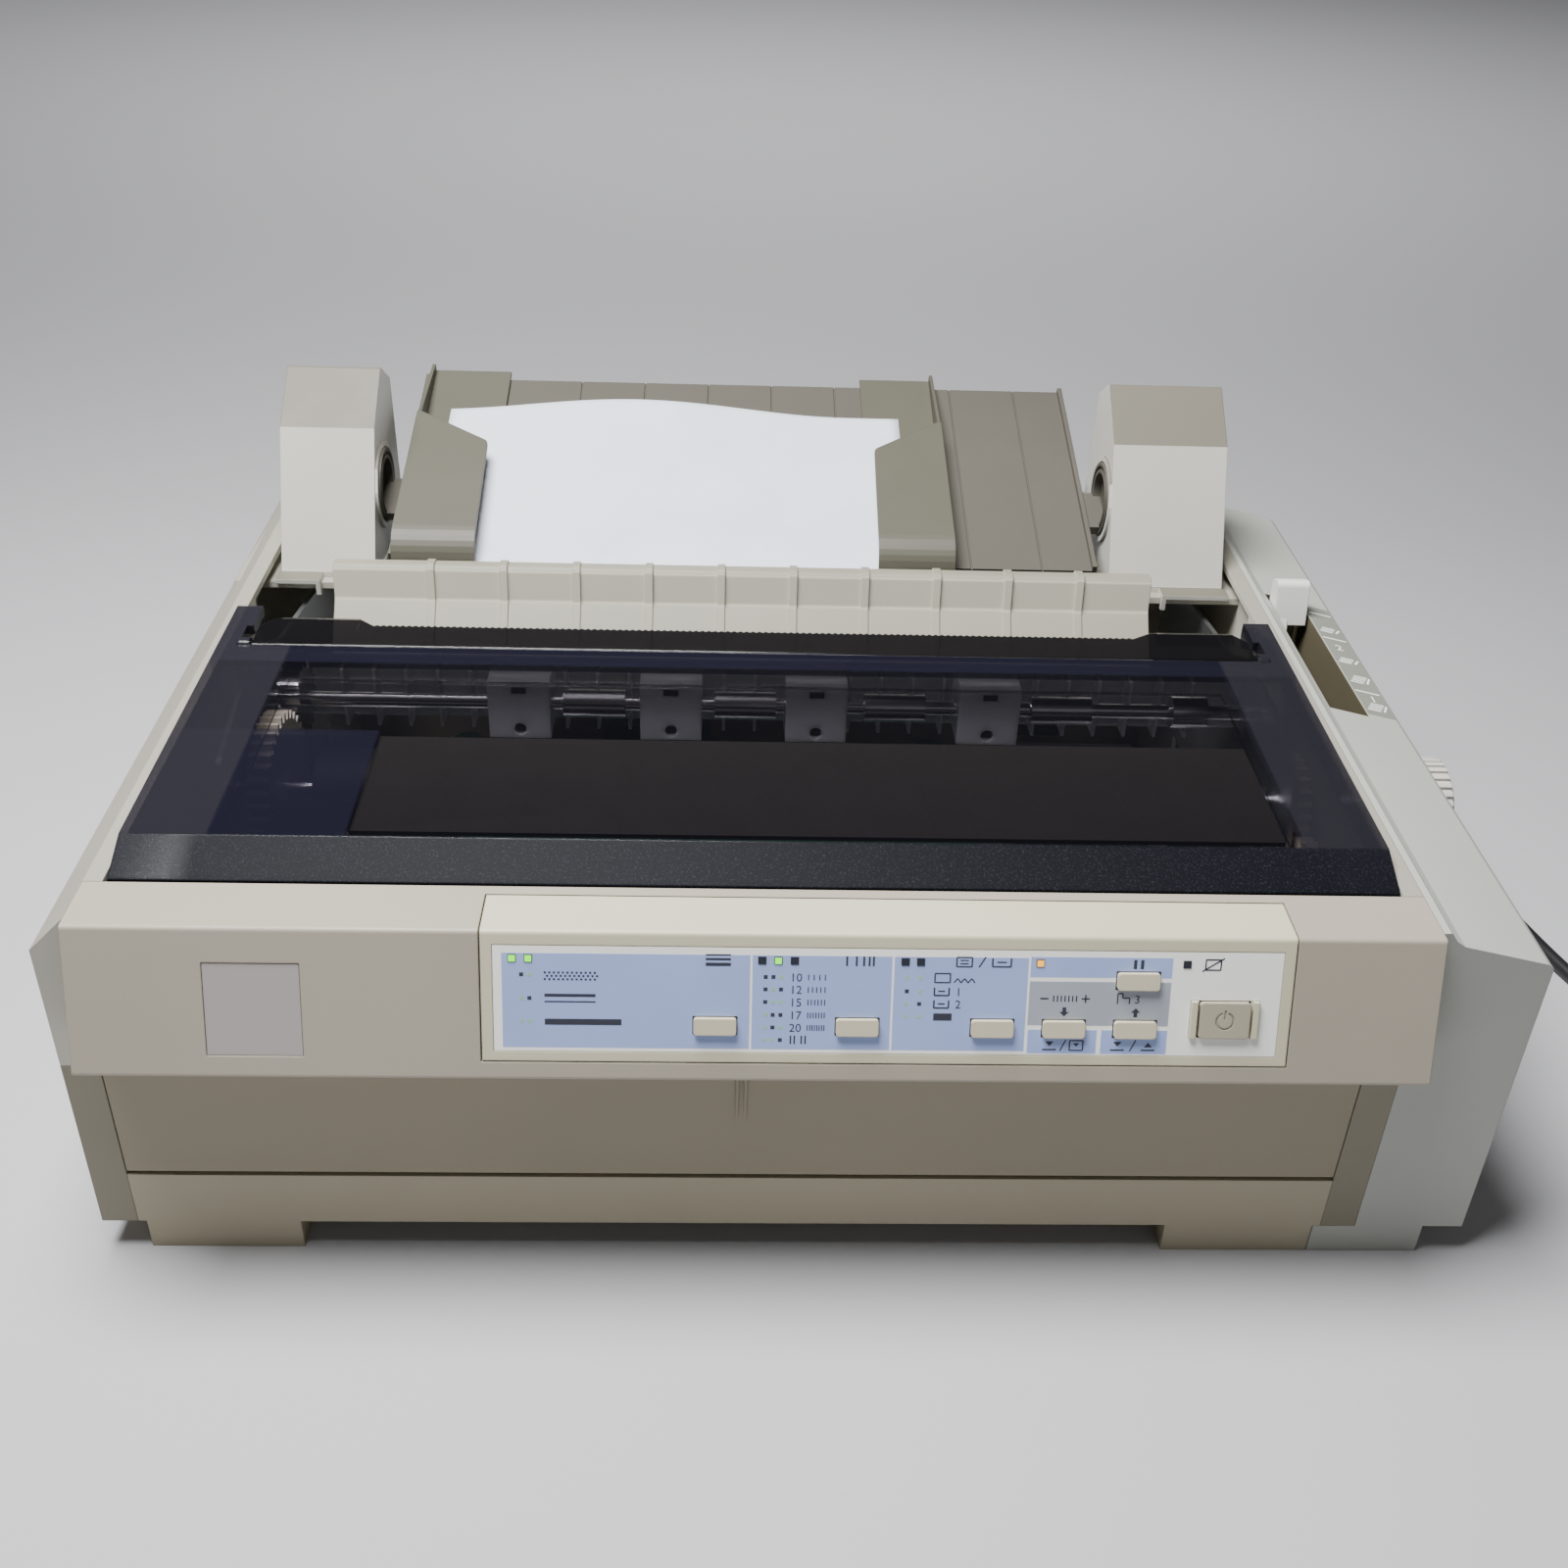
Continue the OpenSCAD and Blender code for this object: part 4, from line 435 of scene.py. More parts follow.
pad = plastic("sound_pad", srgb(26, 24, 20), rough=0.95, grain=0.0003, grain_scale=900, edge=0)
platen_rubber = plastic("platen_rubber", srgb(34, 34, 36), rough=0.6, grain=0.00004, edge=0.0003)

# Places in the row's own Y (m): the cover's front bend, its pad's back edge, the haze before its flap hinge,
# the tension unit's back plate.
BEND_Y = (36.5 - CENTRE_Y) * MM
PAD_Y = (98.4 - CENTRE_Y) * MM
HAZE_Y = (144.5 - CENTRE_Y) * MM
PLATE_Y = (172.0 - CENTRE_Y) * MM
# How far the cover's frame, its dark rims and the dimmer ends of its facet reach in from each side (m).
FRAME_IN, RIM_IN, DIM_IN = 0.0305, 0.003, 0.024
# How much of the light the milky veil in the plastic takes: the clear cover, its regions and the flap.
CLEAR_VEIL, FRAME_VEIL, PAD_VEIL, HAZE_VEIL, RIM_VEIL = 0.08, 0.62, 0.72, 0.82, 0.95
FLAP_VEIL = 0.82
# How light the veil is at the rims and within the frame, where the frame itself is 1.
RIM_SHADE, CLEAR_SHADE = 0.2, 0.35
# The noise that makes the facet sparkle: its scale, and where the specks begin and are brightest.
SPARKLE_SCALE, SPARKLE_FROM, SPARKLE_FULLY = 1500, 0.54, 0.74
SMOKED_EDGE = 0.0007
# The share of light that the gloss throws back where it faces the eye.
GLOSS_FACING = 0.022


def smoked(s, share, veil):
    """Smoked clear plastic: see-through, a veil that takes a share of it, and a gloss over both."""
    clear = s.node("ShaderNodeBsdfTransparent")
    clear.inputs["Color"].default_value = (*srgb(229, 227, 230), 1)
    gloss = s.node("ShaderNodeBsdfGlossy", Roughness=0.12)
    weight = s.node("ShaderNodeLayerWeight", Blend=0.5)
    for made in (gloss, weight):
        s.link(s.bump_link, made.inputs["Normal"])
    grazing = s.compute("POWER", weight.outputs["Facing"], 5)
    tinted = s.mix_shaders(share, clear.outputs[0], veil.outputs[0])
    return s.mix_shaders(s.range(grazing, GLOSS_FACING, 1), tinted, gloss.outputs[0])


def flap_plastic():
    """The flap: the same plastic, evenly veiled."""
    s = Shader("smoked_flap")
    s.round_edges(SMOKED_EDGE)
    veil = s.node("ShaderNodeBsdfDiffuse")
    veil.inputs["Color"].default_value = (*srgb(15, 14, 16), 1)
    s.link(smoked(s, FLAP_VEIL, veil), s.tree.nodes["Material Output"].inputs["Surface"])
    return s.material


def cover_plastic():
    """The cover: clear, hazy at its margins and over the pad, and a solid sparkling facet before its bend."""
    s = Shader("smoked_cover")
    s.round_edges(SMOKED_EDGE)
    low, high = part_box("printer_cover")
    middle, half = (low[0] + high[0]) / 2, (high[0] - low[0]) / 2
    margin = past(s, half - FRAME_IN, axis="X", mirror_at=middle)
    rim = past(s, half - RIM_IN, 0.0004, axis="X", mirror_at=middle)
    carrier = inside(s, OPEN, (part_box("cover_pad")[0][0], PAD_Y, None))
    regions = ((past(s, HAZE_Y), HAZE_VEIL), (margin, FRAME_VEIL), (rim, RIM_VEIL), (carrier, PAD_VEIL))
    share = combine(s, "MAXIMUM", *(s.range(mask, CLEAR_VEIL, veiled) for mask, veiled in regions))
    veil = s.node("ShaderNodeBsdfDiffuse")
    shades = combine(s, "MULTIPLY", s.range(margin, CLEAR_SHADE, 1), s.range(rim, 1, RIM_SHADE))
    s.link(s.ramp(shades, [(RIM_SHADE, srgb(16, 16, 22)), (CLEAR_SHADE, srgb(21, 21, 33)),
                           (1.0, srgb(37, 36, 43))]), veil.inputs["Color"])
    sparkle = [(SPARKLE_FROM, srgb(14, 15, 21)), (SPARKLE_FULLY, srgb(34, 35, 41))]
    s.link(s.ramp(s.noise(SPARKLE_SCALE, 1), sparkle), s.bsdf.inputs["Base Color"])
    s.surface({"Roughness": 0.5, "Specular IOR Level": 0.06})
    dim_ends = s.range(past(s, half - DIM_IN, 0.004, axis="X", mirror_at=middle), 1, 0.8)
    facet = combine(s, "MULTIPLY", s.range(past(s, BEND_Y), 1, 0), dim_ends)
    s.link(s.mix_shaders(facet, smoked(s, share, veil), s.bsdf.outputs[0]),
           s.tree.nodes["Material Output"].inputs["Surface"])
    return s.material


def tension_plastic():
    """Pale clear-looking blocks and fins before a dark back plate."""
    s = Shader("tension_plastic")
    s.link(s.ramp(past(s, PLATE_Y), [(0.0, srgb(226, 228, 233)), (1.0, srgb(58, 60, 66))]),
           s.bsdf.inputs["Base Color"])
    s.surface({"Roughness": 0.3, "Subsurface Weight": 1.0, "Subsurface Radius": (1.0, 1.0, 1.0),
               "Subsurface Scale": 0.012})
    return s.material


def lens(name, colour, glow=None):
    """A lamp's window, dark or lit."""
    s = Shader(name)
    s.surface({"Base Color": (*colour, 1), "Roughness": 0.25})
    if glow:
        s.surface({"Emission Color": (*colour, 1), "Emission Strength": glow})
    return s.material


def paper_material():
    """Bright, slightly blue writing paper."""
    s = Shader("paper")
    s.link(s.clouded(s.noise(30, 3), srgb(214, 217, 228), srgb(222, 225, 236)), s.bsdf.inputs["Base Color"])
    s.surface({"Roughness": 0.85, "Specular IOR Level": 0.25})
    s.bump(s.noise(2600, 3), 0.00003, 0.5)
    return s.material


paper = paper_material()

FINISH = {
    "upper_case": housing, "right_pod": pod_plastic, "lower_case": housing_low, "front_door": door_shaded_plastic,
    "front_panel": panel_plastic, "control_unit": cream, "badge_plate": badge_metal,
    "panel_label": label_base, "indicator_leds": lens("led_dark", srgb(44, 46, 56)),
    "mode_key": key_cream, "pitch_key": key_cream, "tear_key": key_cream, "feed_key": key_cream,
    "load_key": key_cream, "pause_key": key_cream, "power_key": power_cream,
    "printer_cover": cover_plastic(), "tear_off_flap": flap_plastic(), "cover_pad": pad,
    "guide_bar": bar_plastic, "left_box": box_plastic, "right_box": box_plastic, "sheet_tray": tray_plastic,
    "left_guide": guide_plastic, "right_guide": guide_plastic, "paper_sheet": paper,
    "chassis_base": steel, "left_frame": steel, "right_frame": steel, "platen": platen_rubber,
    "platen_shaft": shaft, "feed_knob": knob_grey, "platen_gears": ivory, "motors": motor_black,
    "motor_pinion": brass, "tension_frame": tension_plastic(), "tension_shaft": shaft,
    "front_idler": ivory, "rear_idler": ivory, "tractor_shaft": shaft, "guide_rods": shaft,
    "left_tractor": black_plastic, "right_tractor": black_plastic, "left_sprocket": ivory,
    "right_sprocket": ivory, "carriage": black_plastic, "print_head": head_metal,
    "carriage_belt": platen_rubber, "drive_pulley": brass, "idler_pulley": ivory,
    "ribbon_cartridge": dark_grey, "ribbon_knob": dark_grey, "release_lever": lever_white,
    "main_board": board, "transformer": motor_black, "mains_inlet": plug_black,
    "mains_connector": plug_black, "mains_cord": cord_black, "cord_coil": cord_black,
    "mains_plug": plug_black,
}
for name, material in FINISH.items():
    slots = NODES[name].data.materials
    if not slots:
        slots.append(material)
    for i in range(len(slots)):
        slots[i] = material


# ---- loaded sheet ---------------------------------------------------------------

# The tray's hinge (Y and Z) and the sheet in the tray's own frame (mm): its middle, how far out of the
# hinge's plane it lies, its top edge, the length that lies flat, and the bend round the throat below.
HUB = (276.0, 175.0)
TRAY_SLOPE = math.radians(17.65)
SHEET_W, SHEET_L = 210.0, 148.0
SHEET_X = -32.0
SHEET_OUT = -5.7
SHEET_TOP = 62.0
SHEET_FLAT = 100.0
THROAT_R, THROAT_TURN = 28.0, math.radians(60.0)
SHEET_THICK = 0.12
# The gentle swell across the top edge: its height, middle and half width (mm).
BULGE, BULGE_X, BULGE_HALF = 8.0, -50.0, 100.0
CELLS_ACROSS, CELLS_ALONG = 42, 60


def in_tray(x, u, w):
    """A point of the tray's own frame (mm), u up its slope and w out of it."""
    c, s = math.cos(TRAY_SLOPE), math.sin(TRAY_SLOPE)
    return at(x, HUB[0] + u * c - w * s, HUB[1] + u * s + w * c)


def sheet_point(x, t):
    """The point of the sheet at x and a distance t (mm) from its top edge."""
    off = abs(x - BULGE_X) / BULGE_HALF
    rise = BULGE * math.cos(math.pi / 2 * off) ** 2 if off < 1 else 0.0
    if t <= SHEET_FLAT:
        return in_tray(x, SHEET_TOP - t, SHEET_OUT + rise * (1 - t / SHEET_FLAT))
    arc = THROAT_R * THROAT_TURN
    turn = min(1.0, (t - SHEET_FLAT) / arc) * THROAT_TURN
    rest = max(0.0, t - SHEET_FLAT - arc)
    u = SHEET_TOP - SHEET_FLAT - THROAT_R * math.sin(turn) - rest * math.cos(turn)
    w = SHEET_OUT - THROAT_R + THROAT_R * math.cos(turn) - rest * math.sin(turn)
    return in_tray(x, u, w)


def make_sheet():
    """The loaded sheet, which swells at its top edge and bends down into the throat."""
    row = CELLS_ACROSS + 1
    verts = [sheet_point(SHEET_X + SHEET_W * (i / CELLS_ACROSS - 0.5), SHEET_L * j / CELLS_ALONG)
             for j in range(CELLS_ALONG + 1) for i in range(row)]
    faces = [(j * row + i, (j + 1) * row + i, (j + 1) * row + i + 1, j * row + i + 1)
             for j in range(CELLS_ALONG) for i in range(CELLS_ACROSS)]
    sheet = mesh_piece("loaded_sheet", verts, faces, "tray", paper, smooth=True)
    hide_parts("paper_sheet")
    thick = sheet.modifiers.new("thickness", "SOLIDIFY")
    thick.thickness = SHEET_THICK * MM
    thick.offset = 0


make_sheet()


# ---- printed marks on the panel -------------------------------------------------

# The panel face: its lean, and the Y and Z of its foot in the drawing frame (mm).
FACE_LEAN = math.radians(17.74)
FACE_Y = -18.5043
FACE_Z = 95.6408


def on_face(x, s, out=0.0):
    """A point of the leaning panel face (mm): s up the face and out of it."""
    c, d = math.cos(FACE_LEAN), math.sin(FACE_LEAN)
    return at(x, FACE_Y + s * d - out * c, FACE_Z + s * c + out * d)


def ink(name, colour):
    """Printed colour, faintly uneven."""
    s = Shader(name)
    s.link(s.clouded(s.noise(40, 3), shade(colour, 0.96), shade(colour, 1.03)), s.bsdf.inputs["Base Color"])
    s.surface({"Roughness": 0.45})
    return s.material


BLUE = ink("ink_blue", srgb(156, 174, 224))
GREY = ink("ink_grey", srgb(160, 166, 176))
DARK = ink("ink_dark", srgb(48, 50, 62))
WHITE = ink("ink_white", srgb(250, 252, 248))
PALE_GREEN = ink("ink_pale_green", srgb(146, 190, 160))
STRIP_GREY = ink("ink_strip", srgb(134, 135, 126))

# The width of the strokes (mm), and a triangle's height to its width.
HAIR, FINE, THIN, STROKE = 0.4, 0.42, 0.45, 0.5
TRIANGLE_RISE = 0.62
# How far printed areas stand out, how far the marks on them do, and how deep both reach in (mm).
AREA_OUT, MARK_OUT, PRINT_DEPTH = 0.03, 0.06, 0.05
# From here on, marks on the panel are placed by x and by s, their distance up the face (mm): the keys'
# middles and size, the clearance of the holes and of the outlines of painted shadow round them, and the
# lamps' windows.
KEYS = [(-8.5, 19.4), (36, 19.4), (78.5, 19.4), (101.1, 19.4), (123.7, 19.4), (123.7, 35.6)]
KEY_W, KEY_H = 13.4, 5.6
KEY_GAP, OUTLINE_GAP = 0.35, 0.15
LED_X = (-71.3, -66.3, 5.9, 10.9, 16.0, 50.4, 55.2, 92.6, 138.8)
LED_S = 41.1
LED_W = 2.4
LED_GAP = 0.1
# The faces of a box whose lower and then upper corners each run anticlockwise.
FACES_OF_BOX = ((4, 5, 6, 7), (3, 2, 1, 0), (0, 1, 5, 4), (1, 2, 6, 5), (2, 3, 7, 6), (3, 0, 4, 7))


def panes(x0, s0, x1, s1, holes):
    """The rectangle less the holes, as rectangles."""
    rects = [(x0, s0, x1, s1)]
    for hx0, hs0, hx1, hs1 in holes:
        rest = []
        for a0, b0, a1, b1 in rects:
            if hx1 <= a0 or hx0 >= a1 or hs1 <= b0 or hs0 >= b1:
                rest.append((a0, b0, a1, b1))
                continue
            if hx0 > a0:
                rest.append((a0, b0, hx0, b1))
            if hx1 < a1:
                rest.append((hx1, b0, a1, b1))
            left, right = max(a0, hx0), min(a1, hx1)
            if hs0 > b0:
                rest.append((left, b0, right, hs0))
            if hs1 < b1:
                rest.append((left, hs1, right, b1))
        rects = rest
    return rects


def around(x, s, width, height, gap):
    """A rectangle about a middle point, larger by the gap on each side."""
    across, up = width / 2 + gap, height / 2 + gap
    return (x - across, s - up, x + across, s + up)


def face_print(name, rects, material, out=AREA_OUT):
    """Thin printed rectangles on the face."""
    verts, faces = [], []
    for x0, s0, x1, s1 in rects:
        k = len(verts)
        for depth in (out - PRINT_DEPTH, out):
            verts += [on_face(x, s, depth) for x, s in bar(x0, s0, x1, s1)]
        faces += [tuple(k + i for i in face) for face in FACES_OF_BOX]
    piece = mesh_piece(name, verts, faces, "case", material)


def face_shapes(name, shapes, material, out=MARK_OUT, where=on_face):
    """Printed outlines on the face or another surface, each a list of (x, s) points taken anticlockwise."""
    verts, faces = [], []
    for points in shapes:
        k, n = len(verts), len(points)
        verts += [where(x, s, out - PRINT_DEPTH) for x, s in points]
        verts += [where(x, s, out) for x, s in points]
        faces.append(tuple(k + n + i for i in range(n)))
        faces.append(tuple(k + i for i in range(n - 1, -1, -1)))
        faces += [(k + i, k + (i + 1) % n, k + n + (i + 1) % n, k + n + i) for i in range(n)]
    piece = mesh_piece(name, verts, faces, "case", material)


def bar(x0, s0, x1, s1):
    """A filled rectangle."""
    return [(x0, s0), (x1, s0), (x1, s1), (x0, s1)]


def dot(x, s, size=1.25):
    """A small square about a middle point."""
    return bar(x - size / 2, s - size / 2, x + size / 2, s + size / 2)


def line(x0, s0, x1, s1, width):
    """A straight stroke between two points."""
    d = math.hypot(x1 - x0, s1 - s0)
    nx, ns = -(s1 - s0) / d * width / 2, (x1 - x0) / d * width / 2
    return [(x0 - nx, s0 - ns), (x1 - nx, s1 - ns), (x1 + nx, s1 + ns), (x0 + nx, s0 + ns)]


def path(points, width):
    """Straight strokes from point to point."""
    return [line(*a, *b, width) for a, b in zip(points, points[1:])]


def outline(x0, s0, x1, s1, width):
    """The four sides of a rectangle."""
    return path([(x0, s0), (x1, s0), (x1, s1), (x0, s1), (x0, s0)], width)


def arrow(x, s, way, size=3.0):
    """A block arrow that points up (way 1) or down (way -1)."""
    head = [(x - size / 2, s), (x + size / 2, s), (x, s + way * size / 2)]
    stem = bar(x - size / 5, s - size / 2 if way > 0 else s, x + size / 5, s if way > 0 else s + size / 2)
    return [head if way > 0 else head[::-1], stem]


def triangle(x, s, way, size=2.6):
    """A triangle that points up (way 1) or down (way -1)."""
    points = [(x - size / 2, s), (x + size / 2, s), (x, s + way * size * TRIANGLE_RISE)]
    return points if way > 0 else points[::-1]


def ticks(x0, x1, s0, s1, count, width=0.34):
    """Evenly spaced upright strokes."""
    spots = [x0 + (x1 - x0) * i / (count - 1) for i in range(count)]
    return [line(x, s0, x, s1, width) for x in spots]


def number(name, body, x, s, size, material, where=on_face):
    """A plain number printed on the face or another surface, its left end at x."""
    curve = bpy.data.curves.new(name, "FONT")
    curve.body = body
    curve.size = size
    curve.resolution_u = 3
    source = bpy.data.objects.new(name + "_outline", curve)
    bpy.context.scene.collection.objects.link(source)
    mesh = bpy.data.meshes.new_from_object(source.evaluated_get(bpy.context.evaluated_depsgraph_get()))
    bpy.data.objects.remove(source)
    verts = [where(x + v.co.x, s + v.co.y, MARK_OUT) for v in mesh.vertices]
    faces = [tuple(f.vertices) for f in mesh.polygons]
    bpy.data.meshes.remove(mesh)
    piece = mesh_piece(name, verts, faces, "case", material)


# Lamp patterns: the height of each choice's row, and 1 for each lamp that is lit.
FONT_ROWS = ((35.8, (0, 1)), (28.0, (1, 0)), (20.4, (1, 1)))
PITCH_ROWS = ((35.7, (0, 0, 1)), (31.6, (0, 1, 0)), (27.4, (0, 1, 1)), (23.1, (1, 0, 0)), (18.9, (1, 0, 1)),
              (14.7, (1, 1, 0)))
SHEET_ROWS = ((35.8, (1, 1)), (31.4, (0, 1)), (27.2, (1, 0)), (22.9, (1, 1)))
# Each group's left lamp and the distance from lamp to lamp.
LAMP_GROUPS = ((-68.45, 2.4, FONT_ROWS), (7.05, 2.42, PITCH_ROWS), (51.15, 4.05, SHEET_ROWS))
PITCHES = (("10", 4), ("12", 5), ("15", 6), ("17", 7), ("20", 8))
BIN_NUMBERS = (("1", 30.0), ("2", 25.8))
NUMBER_SIZE = 3.9
BLUE_PANES = [(-74.5, 11.6, 2.2, 42.8), (2.9, 11.6, 46.3, 42.8), (47.0, 11.6, 88.9, 42.8),
              (89.6, 36.5, 134.2, 43.2), (89.9, 10.9, 111.8, 18.9), (113.2, 10.9, 134.2, 18.9)]
GREY_PANES = [(89.6, 20.4, 134.2, 35.1)]
# The line under the feed and load keys' signs, and half its length.
FEED_S, FEED_HALF = 12.2, 2.2


def make_label():
    """The blue and grey areas, with holes for the keys and lamps."""
    holes = [around(x, s, KEY_W, KEY_H, KEY_GAP) for x, s in KEYS]
    holes += [around(x, LED_S, LED_W, LED_W, LED_GAP) for x in LED_X]
    face_print("label_blue", [r for area in BLUE_PANES for r in panes(*area, holes)], BLUE)
    face_print("label_grey", [r for area in GREY_PANES for r in panes(*area, holes)], GREY)


def lamp_dots(wanted):
    """The small dots for the lamps that are lit (1) or dark (0) at each choice."""
    return [dot(x0 + i * step, s) for x0, step, rows in LAMP_GROUPS for s, row in rows
            for i, lit in enumerate(row) if lit == wanted]


def type_signs():
    """A dotted, a thin and a bold line, and the key's sign with all three."""
    shapes = [dot(-61.2 + 1.4 * i + 0.7 * (j % 2), 34.3 + 1.1 * j, 0.66) for i in range(12) for j in range(3)]
    shapes += [line(-61.4, 26.9, -45.6, 26.9, THIN), line(-61.4, 29.0, -45.6, 29.0, 1.0)]
    shapes += [line(-61.4, 20.2, -37.6, 20.2, 2.0)]
    return shapes + [line(-11.6, s, -3.8, s, width) for s, width in ((42.8, THIN), (41.4, 0.75), (39.7, 1.1))]


def pitch_signs():
    """Upright strokes that close up, over the key, at the foot and beside each number."""
    shapes = [line(x, 39.6, x, 42.8, 0.6) for x in (32.2, 35.2, 37.5, 39.2, 40.5)]
    shapes += [line(x, 13.4, x, 16.2, STROKE) for x in (15.2, 16.4, 18.6, 19.8)]
    for (s, _), (_, count) in zip(PITCH_ROWS, PITCHES):
        shapes += ticks(20.4, 25.6, s - 1.0, s + 0.9, count)
    return shapes


def bin_sign(x0, x1, low, high, sheet):
    """An open bin with a sheet in it, which is given by its ends and height."""
    left, right, s = sheet
    return path([(x0, high), (x0, low), (x1, low), (x1, high)], STROKE) + [line(left, s, right, s, THIN)]


def sheet_signs():
    """A torn edge, the first and second bin and a card, and the key's sign: sheet or bin."""
    shapes = outline(59.8, 34.4, 64.6, 37.4, THIN)
    shapes += [line(65.8 + 1.1 * i, 34.4 + (i % 2) * 1.4, 66.9 + 1.1 * i, 35.8 - (i % 2) * 1.4, HAIR)
               for i in range(6)]
    for s in (30.1, 25.9):
        shapes += bin_sign(59.8, 64.4, s, s + 2.6, (61, 63.2, s + 1.4))
    shapes += [bar(59.8, 21.7, 65.6, 24.1)]
    shapes += outline(66.4, 39.7, 71.2, 42.8, THIN) + [line(67.5, s, 70.1, s, HAIR) for s in (41.8, 40.7)]
    shapes += [line(73.4, 39.6, 75.4, 43.0, THIN)]
    return shapes + bin_sign(77.6, 83.4, 39.8, 42.6, (79, 82, 41.3))


def over_line(x, s, way):
    """A triangle over a short line."""
    return [line(x - FEED_HALF, FEED_S, x + FEED_HALF, FEED_S, STROKE), triangle(x, s, way)]


def slash(x):
    """The stroke between two signs that share a key."""
    return [line(x, 11.8, x + 1.8, 15.6, FINE)]


def key_signs():
    """Pause, fine feed between minus and plus, a long press, and the feed and load keys' signs."""
    shapes = [bar(121.9, 39.5, 122.9, 42.5), bar(124.1, 39.5, 125.1, 42.5)]
    shapes += arrow(101.0, 25.0, -1) + arrow(123.6, 24.9, 1)
    shapes += [line(93.2, 29.4, 95.8, 29.4, STROKE), line(106.2, 29.4, 108.8, 29.4, STROKE),
               line(107.5, 28.1, 107.5, 30.7, STROKE)]
    shapes += ticks(97.4, 104.6, 28.4, 30.4, 7, FINE)
    shapes += path([(117.6, 27.8), (117.6, 31.3), (119.2, 31.3), (119.2, 29.8), (121.4, 29.8), (121.4, 27.8)],
                   FINE)
    shapes += over_line(97.0, 15.0, -1) + slash(100.4)
    shapes += outline(103.4, 12.0, 107.6, 15.3, FINE) + [triangle(105.5, 14.4, -1, 1.9)]
    return shapes + over_line(118.6, 15.0, -1) + slash(122.6) + over_line(128.4, 13.2, 1)


def no_sheet_sign():
    """A sheet struck out."""
    return outline(144.6, 39.4, 149.4, 42.8, THIN) + [line(143.6, 38.9, 150.4, 43.3, THIN)]


def make_legend():
    """The lamps' dots, plain signs in place of words, the numbers, and the keys' outlines, a painted shadow
    in their gaps.
    """
    face_shapes("legend_pale", lamp_dots(1), PALE_GREEN)
    face_shapes("legend_dark", lamp_dots(0) + type_signs() + pitch_signs() + sheet_signs() + key_signs()
                + no_sheet_sign(), DARK)
    for (s, _), (body, _) in zip(PITCH_ROWS, PITCHES):
        number("pitch_" + body, body, 14.6, s - 1.4, NUMBER_SIZE, DARK)
    for body, s in BIN_NUMBERS:
        number("bin_" + body, body, 66.4, s, NUMBER_SIZE, DARK)
    number("press_3", "3", 122.9, 28.0, NUMBER_SIZE, DARK)
    # Painted shadow: dark outlines fill the gaps round the keys.
    gap_shadows = []
    for x, s in KEYS:
        gap_shadows += outline(*around(x, s, KEY_W, KEY_H, OUTLINE_GAP), 0.32)
    face_shapes("key_gap_shadows", gap_shadows, DARK)


make_label()
make_legend()


# ---- the lever's scale ----------------------------------------------------------

# The pod's slope right of the lever's slot: its edge, its height there at Y 0 and its fall to the right, and
# the climb of the pod's top to the back (mm).
SLOPE_X, SLOPE_Z, SLOPE_FALL = 228.5, 138.1, 6.8 / 29
TOP_SLOPE = math.radians(2.3)
STRIP = (245.8, 146, 257.6, 236)
LONG_MARKS = (164.5, 208, 230)
# Each stack's Y and its number of sheets.
STACKS = ((150.5, 4), (172, 4), (188, 3), (214, 3))
SHEET_STEP = 1.7
SCALE_SIZE = 6.4


def on_pod(x, y, out=0.0):
    """A point of the drawing's x and y on the slope, raised by out (mm)."""
    height = SLOPE_Z - (x - SLOPE_X) * SLOPE_FALL
    return at(x, y, height / math.cos(TOP_SLOPE) + y * math.tan(TOP_SLOPE) + out)


def lever_scale():
    """A grey strip, and marks on it that say how thick a stack the lever is set for."""
    face_shapes("lever_strip", [bar(*STRIP)], STRIP_GREY, AREA_OUT, on_pod)
    marks = [line(246.4, y, 256.8, y, 0.8) for y in LONG_MARKS]
    for y, sheets in STACKS:
        for i in range(sheets):
            marks.append(line(247 + i, y + i * SHEET_STEP, 252.6 + i, y + i * SHEET_STEP, 0.75))
        marks.append(line(254.2, y, 256.6, y + (sheets - 1) * SHEET_STEP, 0.75))
    face_shapes("lever_scale", marks, WHITE, where=on_pod)
    number("lever_0", "2", 249.6, 198.4, SCALE_SIZE, WHITE, on_pod)
    number("lever_1", "1", 250.8, 157.4, SCALE_SIZE, WHITE, on_pod)


lever_scale()


# ---- the shaft blocks' windows, filled with painted shade -----------------------

BLOCK_X = (-87, -28, 29, 97)
# Each plate's foot, top, back and half width (mm): the slot above and the hole below.
WINDOWS = ((139.9, 143.3, 151.8, 2.9), (122.9, 127.1, 151.9, 2.1))
WINDOW_THICK = 0.1
# The faces of a box whose corners run by x, then by z, then from its back to its front.
WINDOW_FACES = ((0, 1, 3, 2), (4, 6, 7, 5), (0, 4, 5, 1), (2, 3, 7, 6), (0, 2, 6, 4), (1, 5, 7, 3))


def block_window_shade():
    """Dark plates of painted shade in the openings in the front of the four shaft blocks."""
    verts, faces = [], []
    for x in BLOCK_X:
        for low, high, back, half in WINDOWS:
            k = len(verts)
            verts += [at(x + i * half, back - j * WINDOW_THICK, z)
                      for j in (0, 1) for z in (low, high) for i in (-1, 1)]
            faces += [tuple(k + i for i in face) for face in WINDOW_FACES]
    mesh_piece("block_window_shade", verts, faces, "case", black_plastic)


block_window_shade()


# ---- lit lamps ------------------------------------------------------------------

GREEN = lens("lamp_green", srgb(120, 235, 40), 1.5)
AMBER = lens("lamp_amber", srgb(240, 170, 50), 1.4)
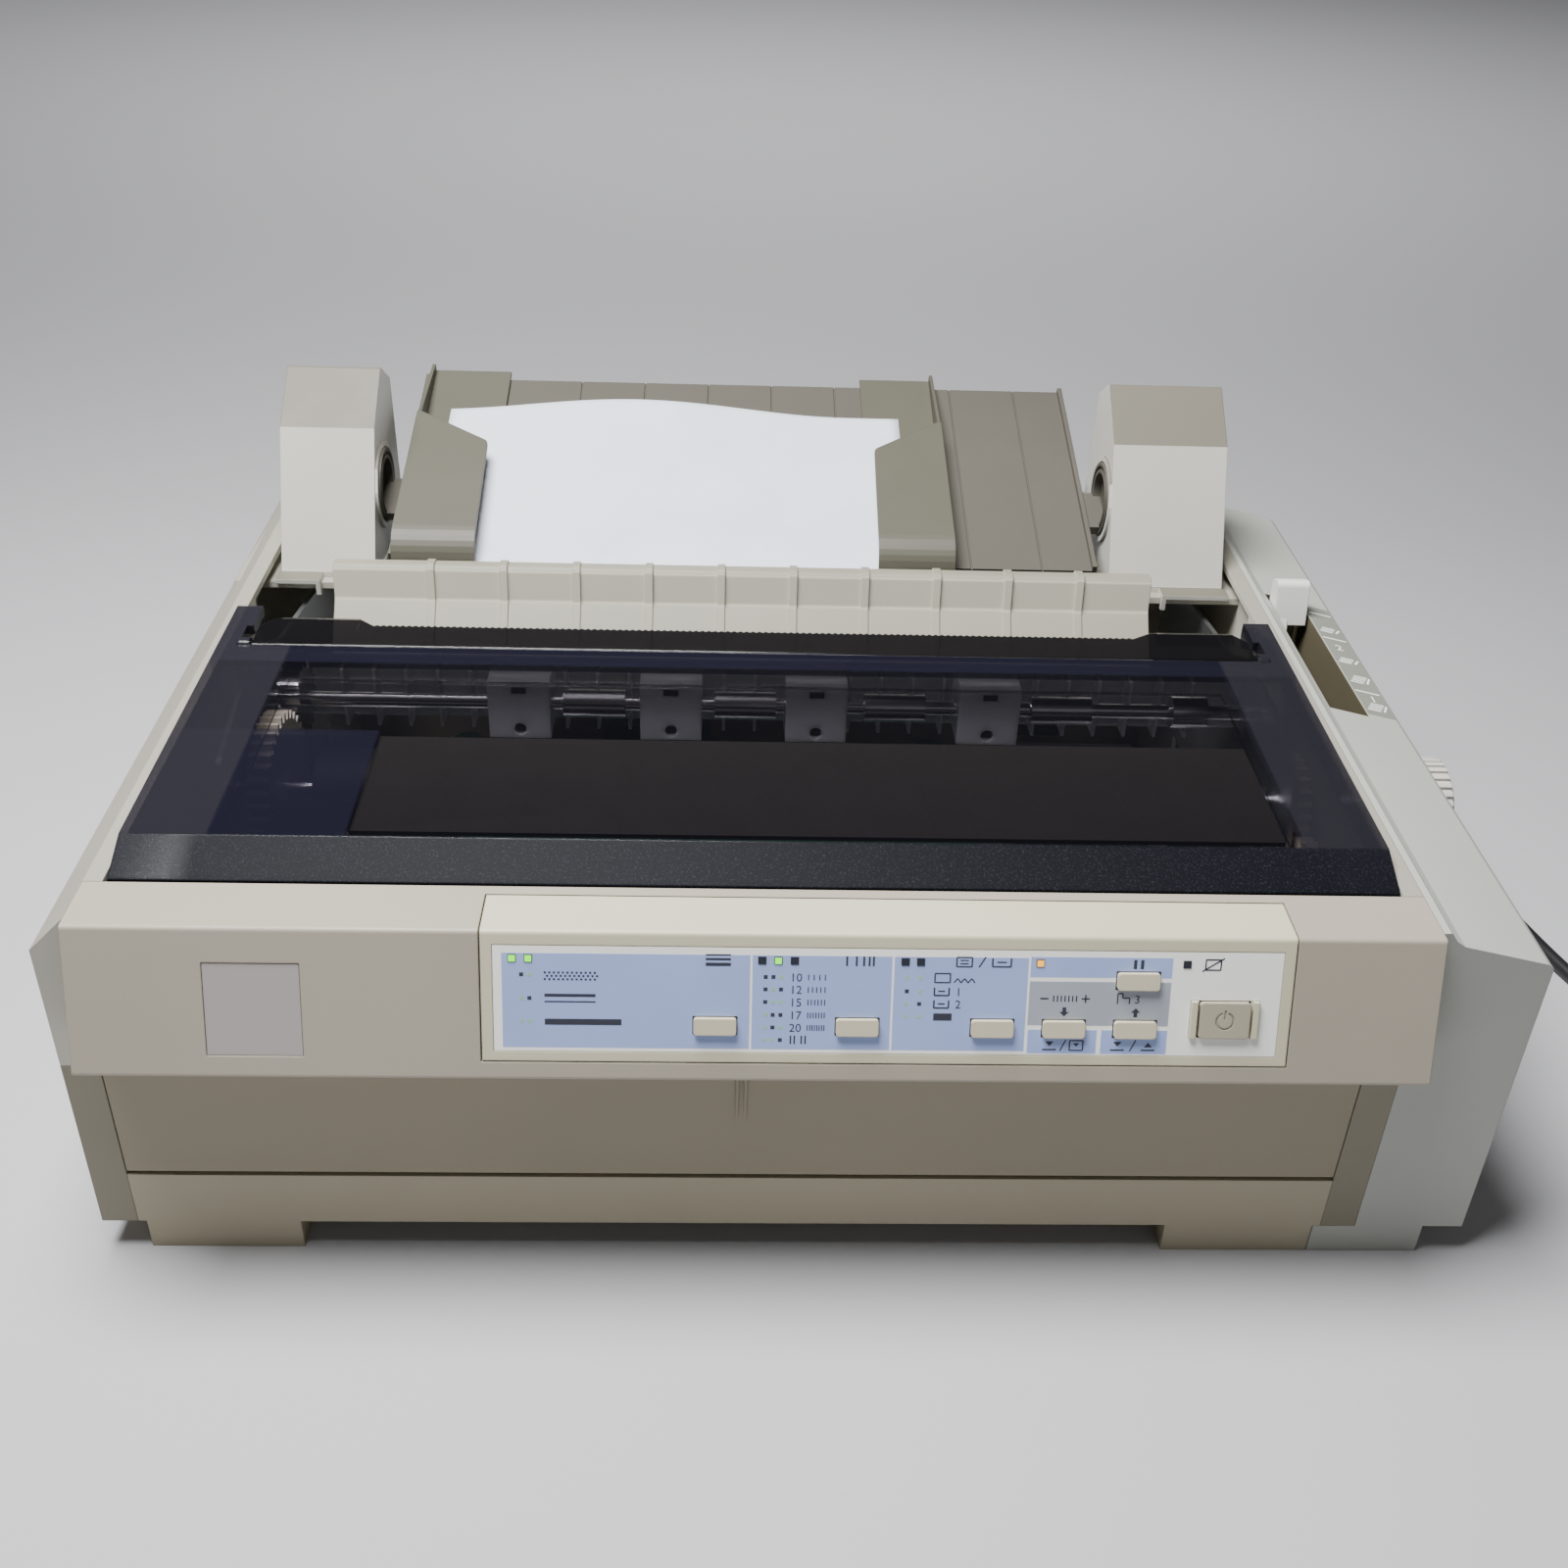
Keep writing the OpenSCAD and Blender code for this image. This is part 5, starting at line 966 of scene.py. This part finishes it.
# The lamps that are lit, by their place in LED_X.
LIT_LAMPS = ((0, GREEN), (1, GREEN), (3, GREEN), (7, AMBER))
# A lit lamp is this much smaller than its window on each side, and this far out of the face (mm).
LAMP_IN, LAMP_OUT = 0.15, 0.26

for index, (spot, glow) in enumerate(LIT_LAMPS):
    face_print(f"lamp_lit_{index}", [around(LED_X[spot], LED_S, LED_W, LED_W, -LAMP_IN)], glow, LAMP_OUT)


# ---- floor and light ------------------------------------------------------------

FLOOR_HALF = 6.0
WORLD_STRENGTH = 0.09
# Each light's name, place, target, diameter (m) and power (W).
LIGHTS = (("key", (-0.25, -0.14, 1.1), (0, -0.02, 0.1), 0.6, 34),
          ("fill", (0.6, -1.8, 0.9), (0.1, 0, 0.1), 1.2, 1.5),
          ("backdrop", (0, 1.6, 2.2), (0, 4.4, 0.8), 2.0, 90))


def make_stage():
    """A plain pale floor, wide enough to fill the picture."""
    mesh = bpy.data.meshes.new("floor")
    corners = [(i * FLOOR_HALF, j * FLOOR_HALF, 0) for i, j in ((-1, -1), (1, -1), (1, 1), (-1, 1))]
    mesh.from_pydata(corners, [], [(0, 1, 2, 3)])
    floor = bpy.data.objects.new("floor", mesh)
    bpy.context.scene.collection.objects.link(floor)
    s = Shader("floor_pale")
    s.surface({"Base Color": (0.5, 0.5, 0.52, 1), "Roughness": 0.9})
    mesh.materials.append(s.material)


def area_light(name, place, target, size, power):
    """A round lamp that faces its target."""
    data = bpy.data.lights.new(name, "AREA")
    data.shape = "DISK"
    data.size = size
    data.energy = power
    light = bpy.data.objects.new(name, data)
    light.location = place
    light.rotation_euler = (Vector(target) - Vector(place)).to_track_quat("-Z", "Y").to_euler()
    bpy.context.scene.collection.objects.link(light)


def make_world():
    """Faint even light from all sides."""
    world = bpy.data.worlds.new("studio")
    bpy.context.scene.world = world
    world.use_nodes = True
    background = world.node_tree.nodes["Background"]
    background.inputs["Color"].default_value = (1, 1, 1, 1)
    background.inputs["Strength"].default_value = WORLD_STRENGTH


make_stage()
for light in LIGHTS:
    area_light(*light)
make_world()
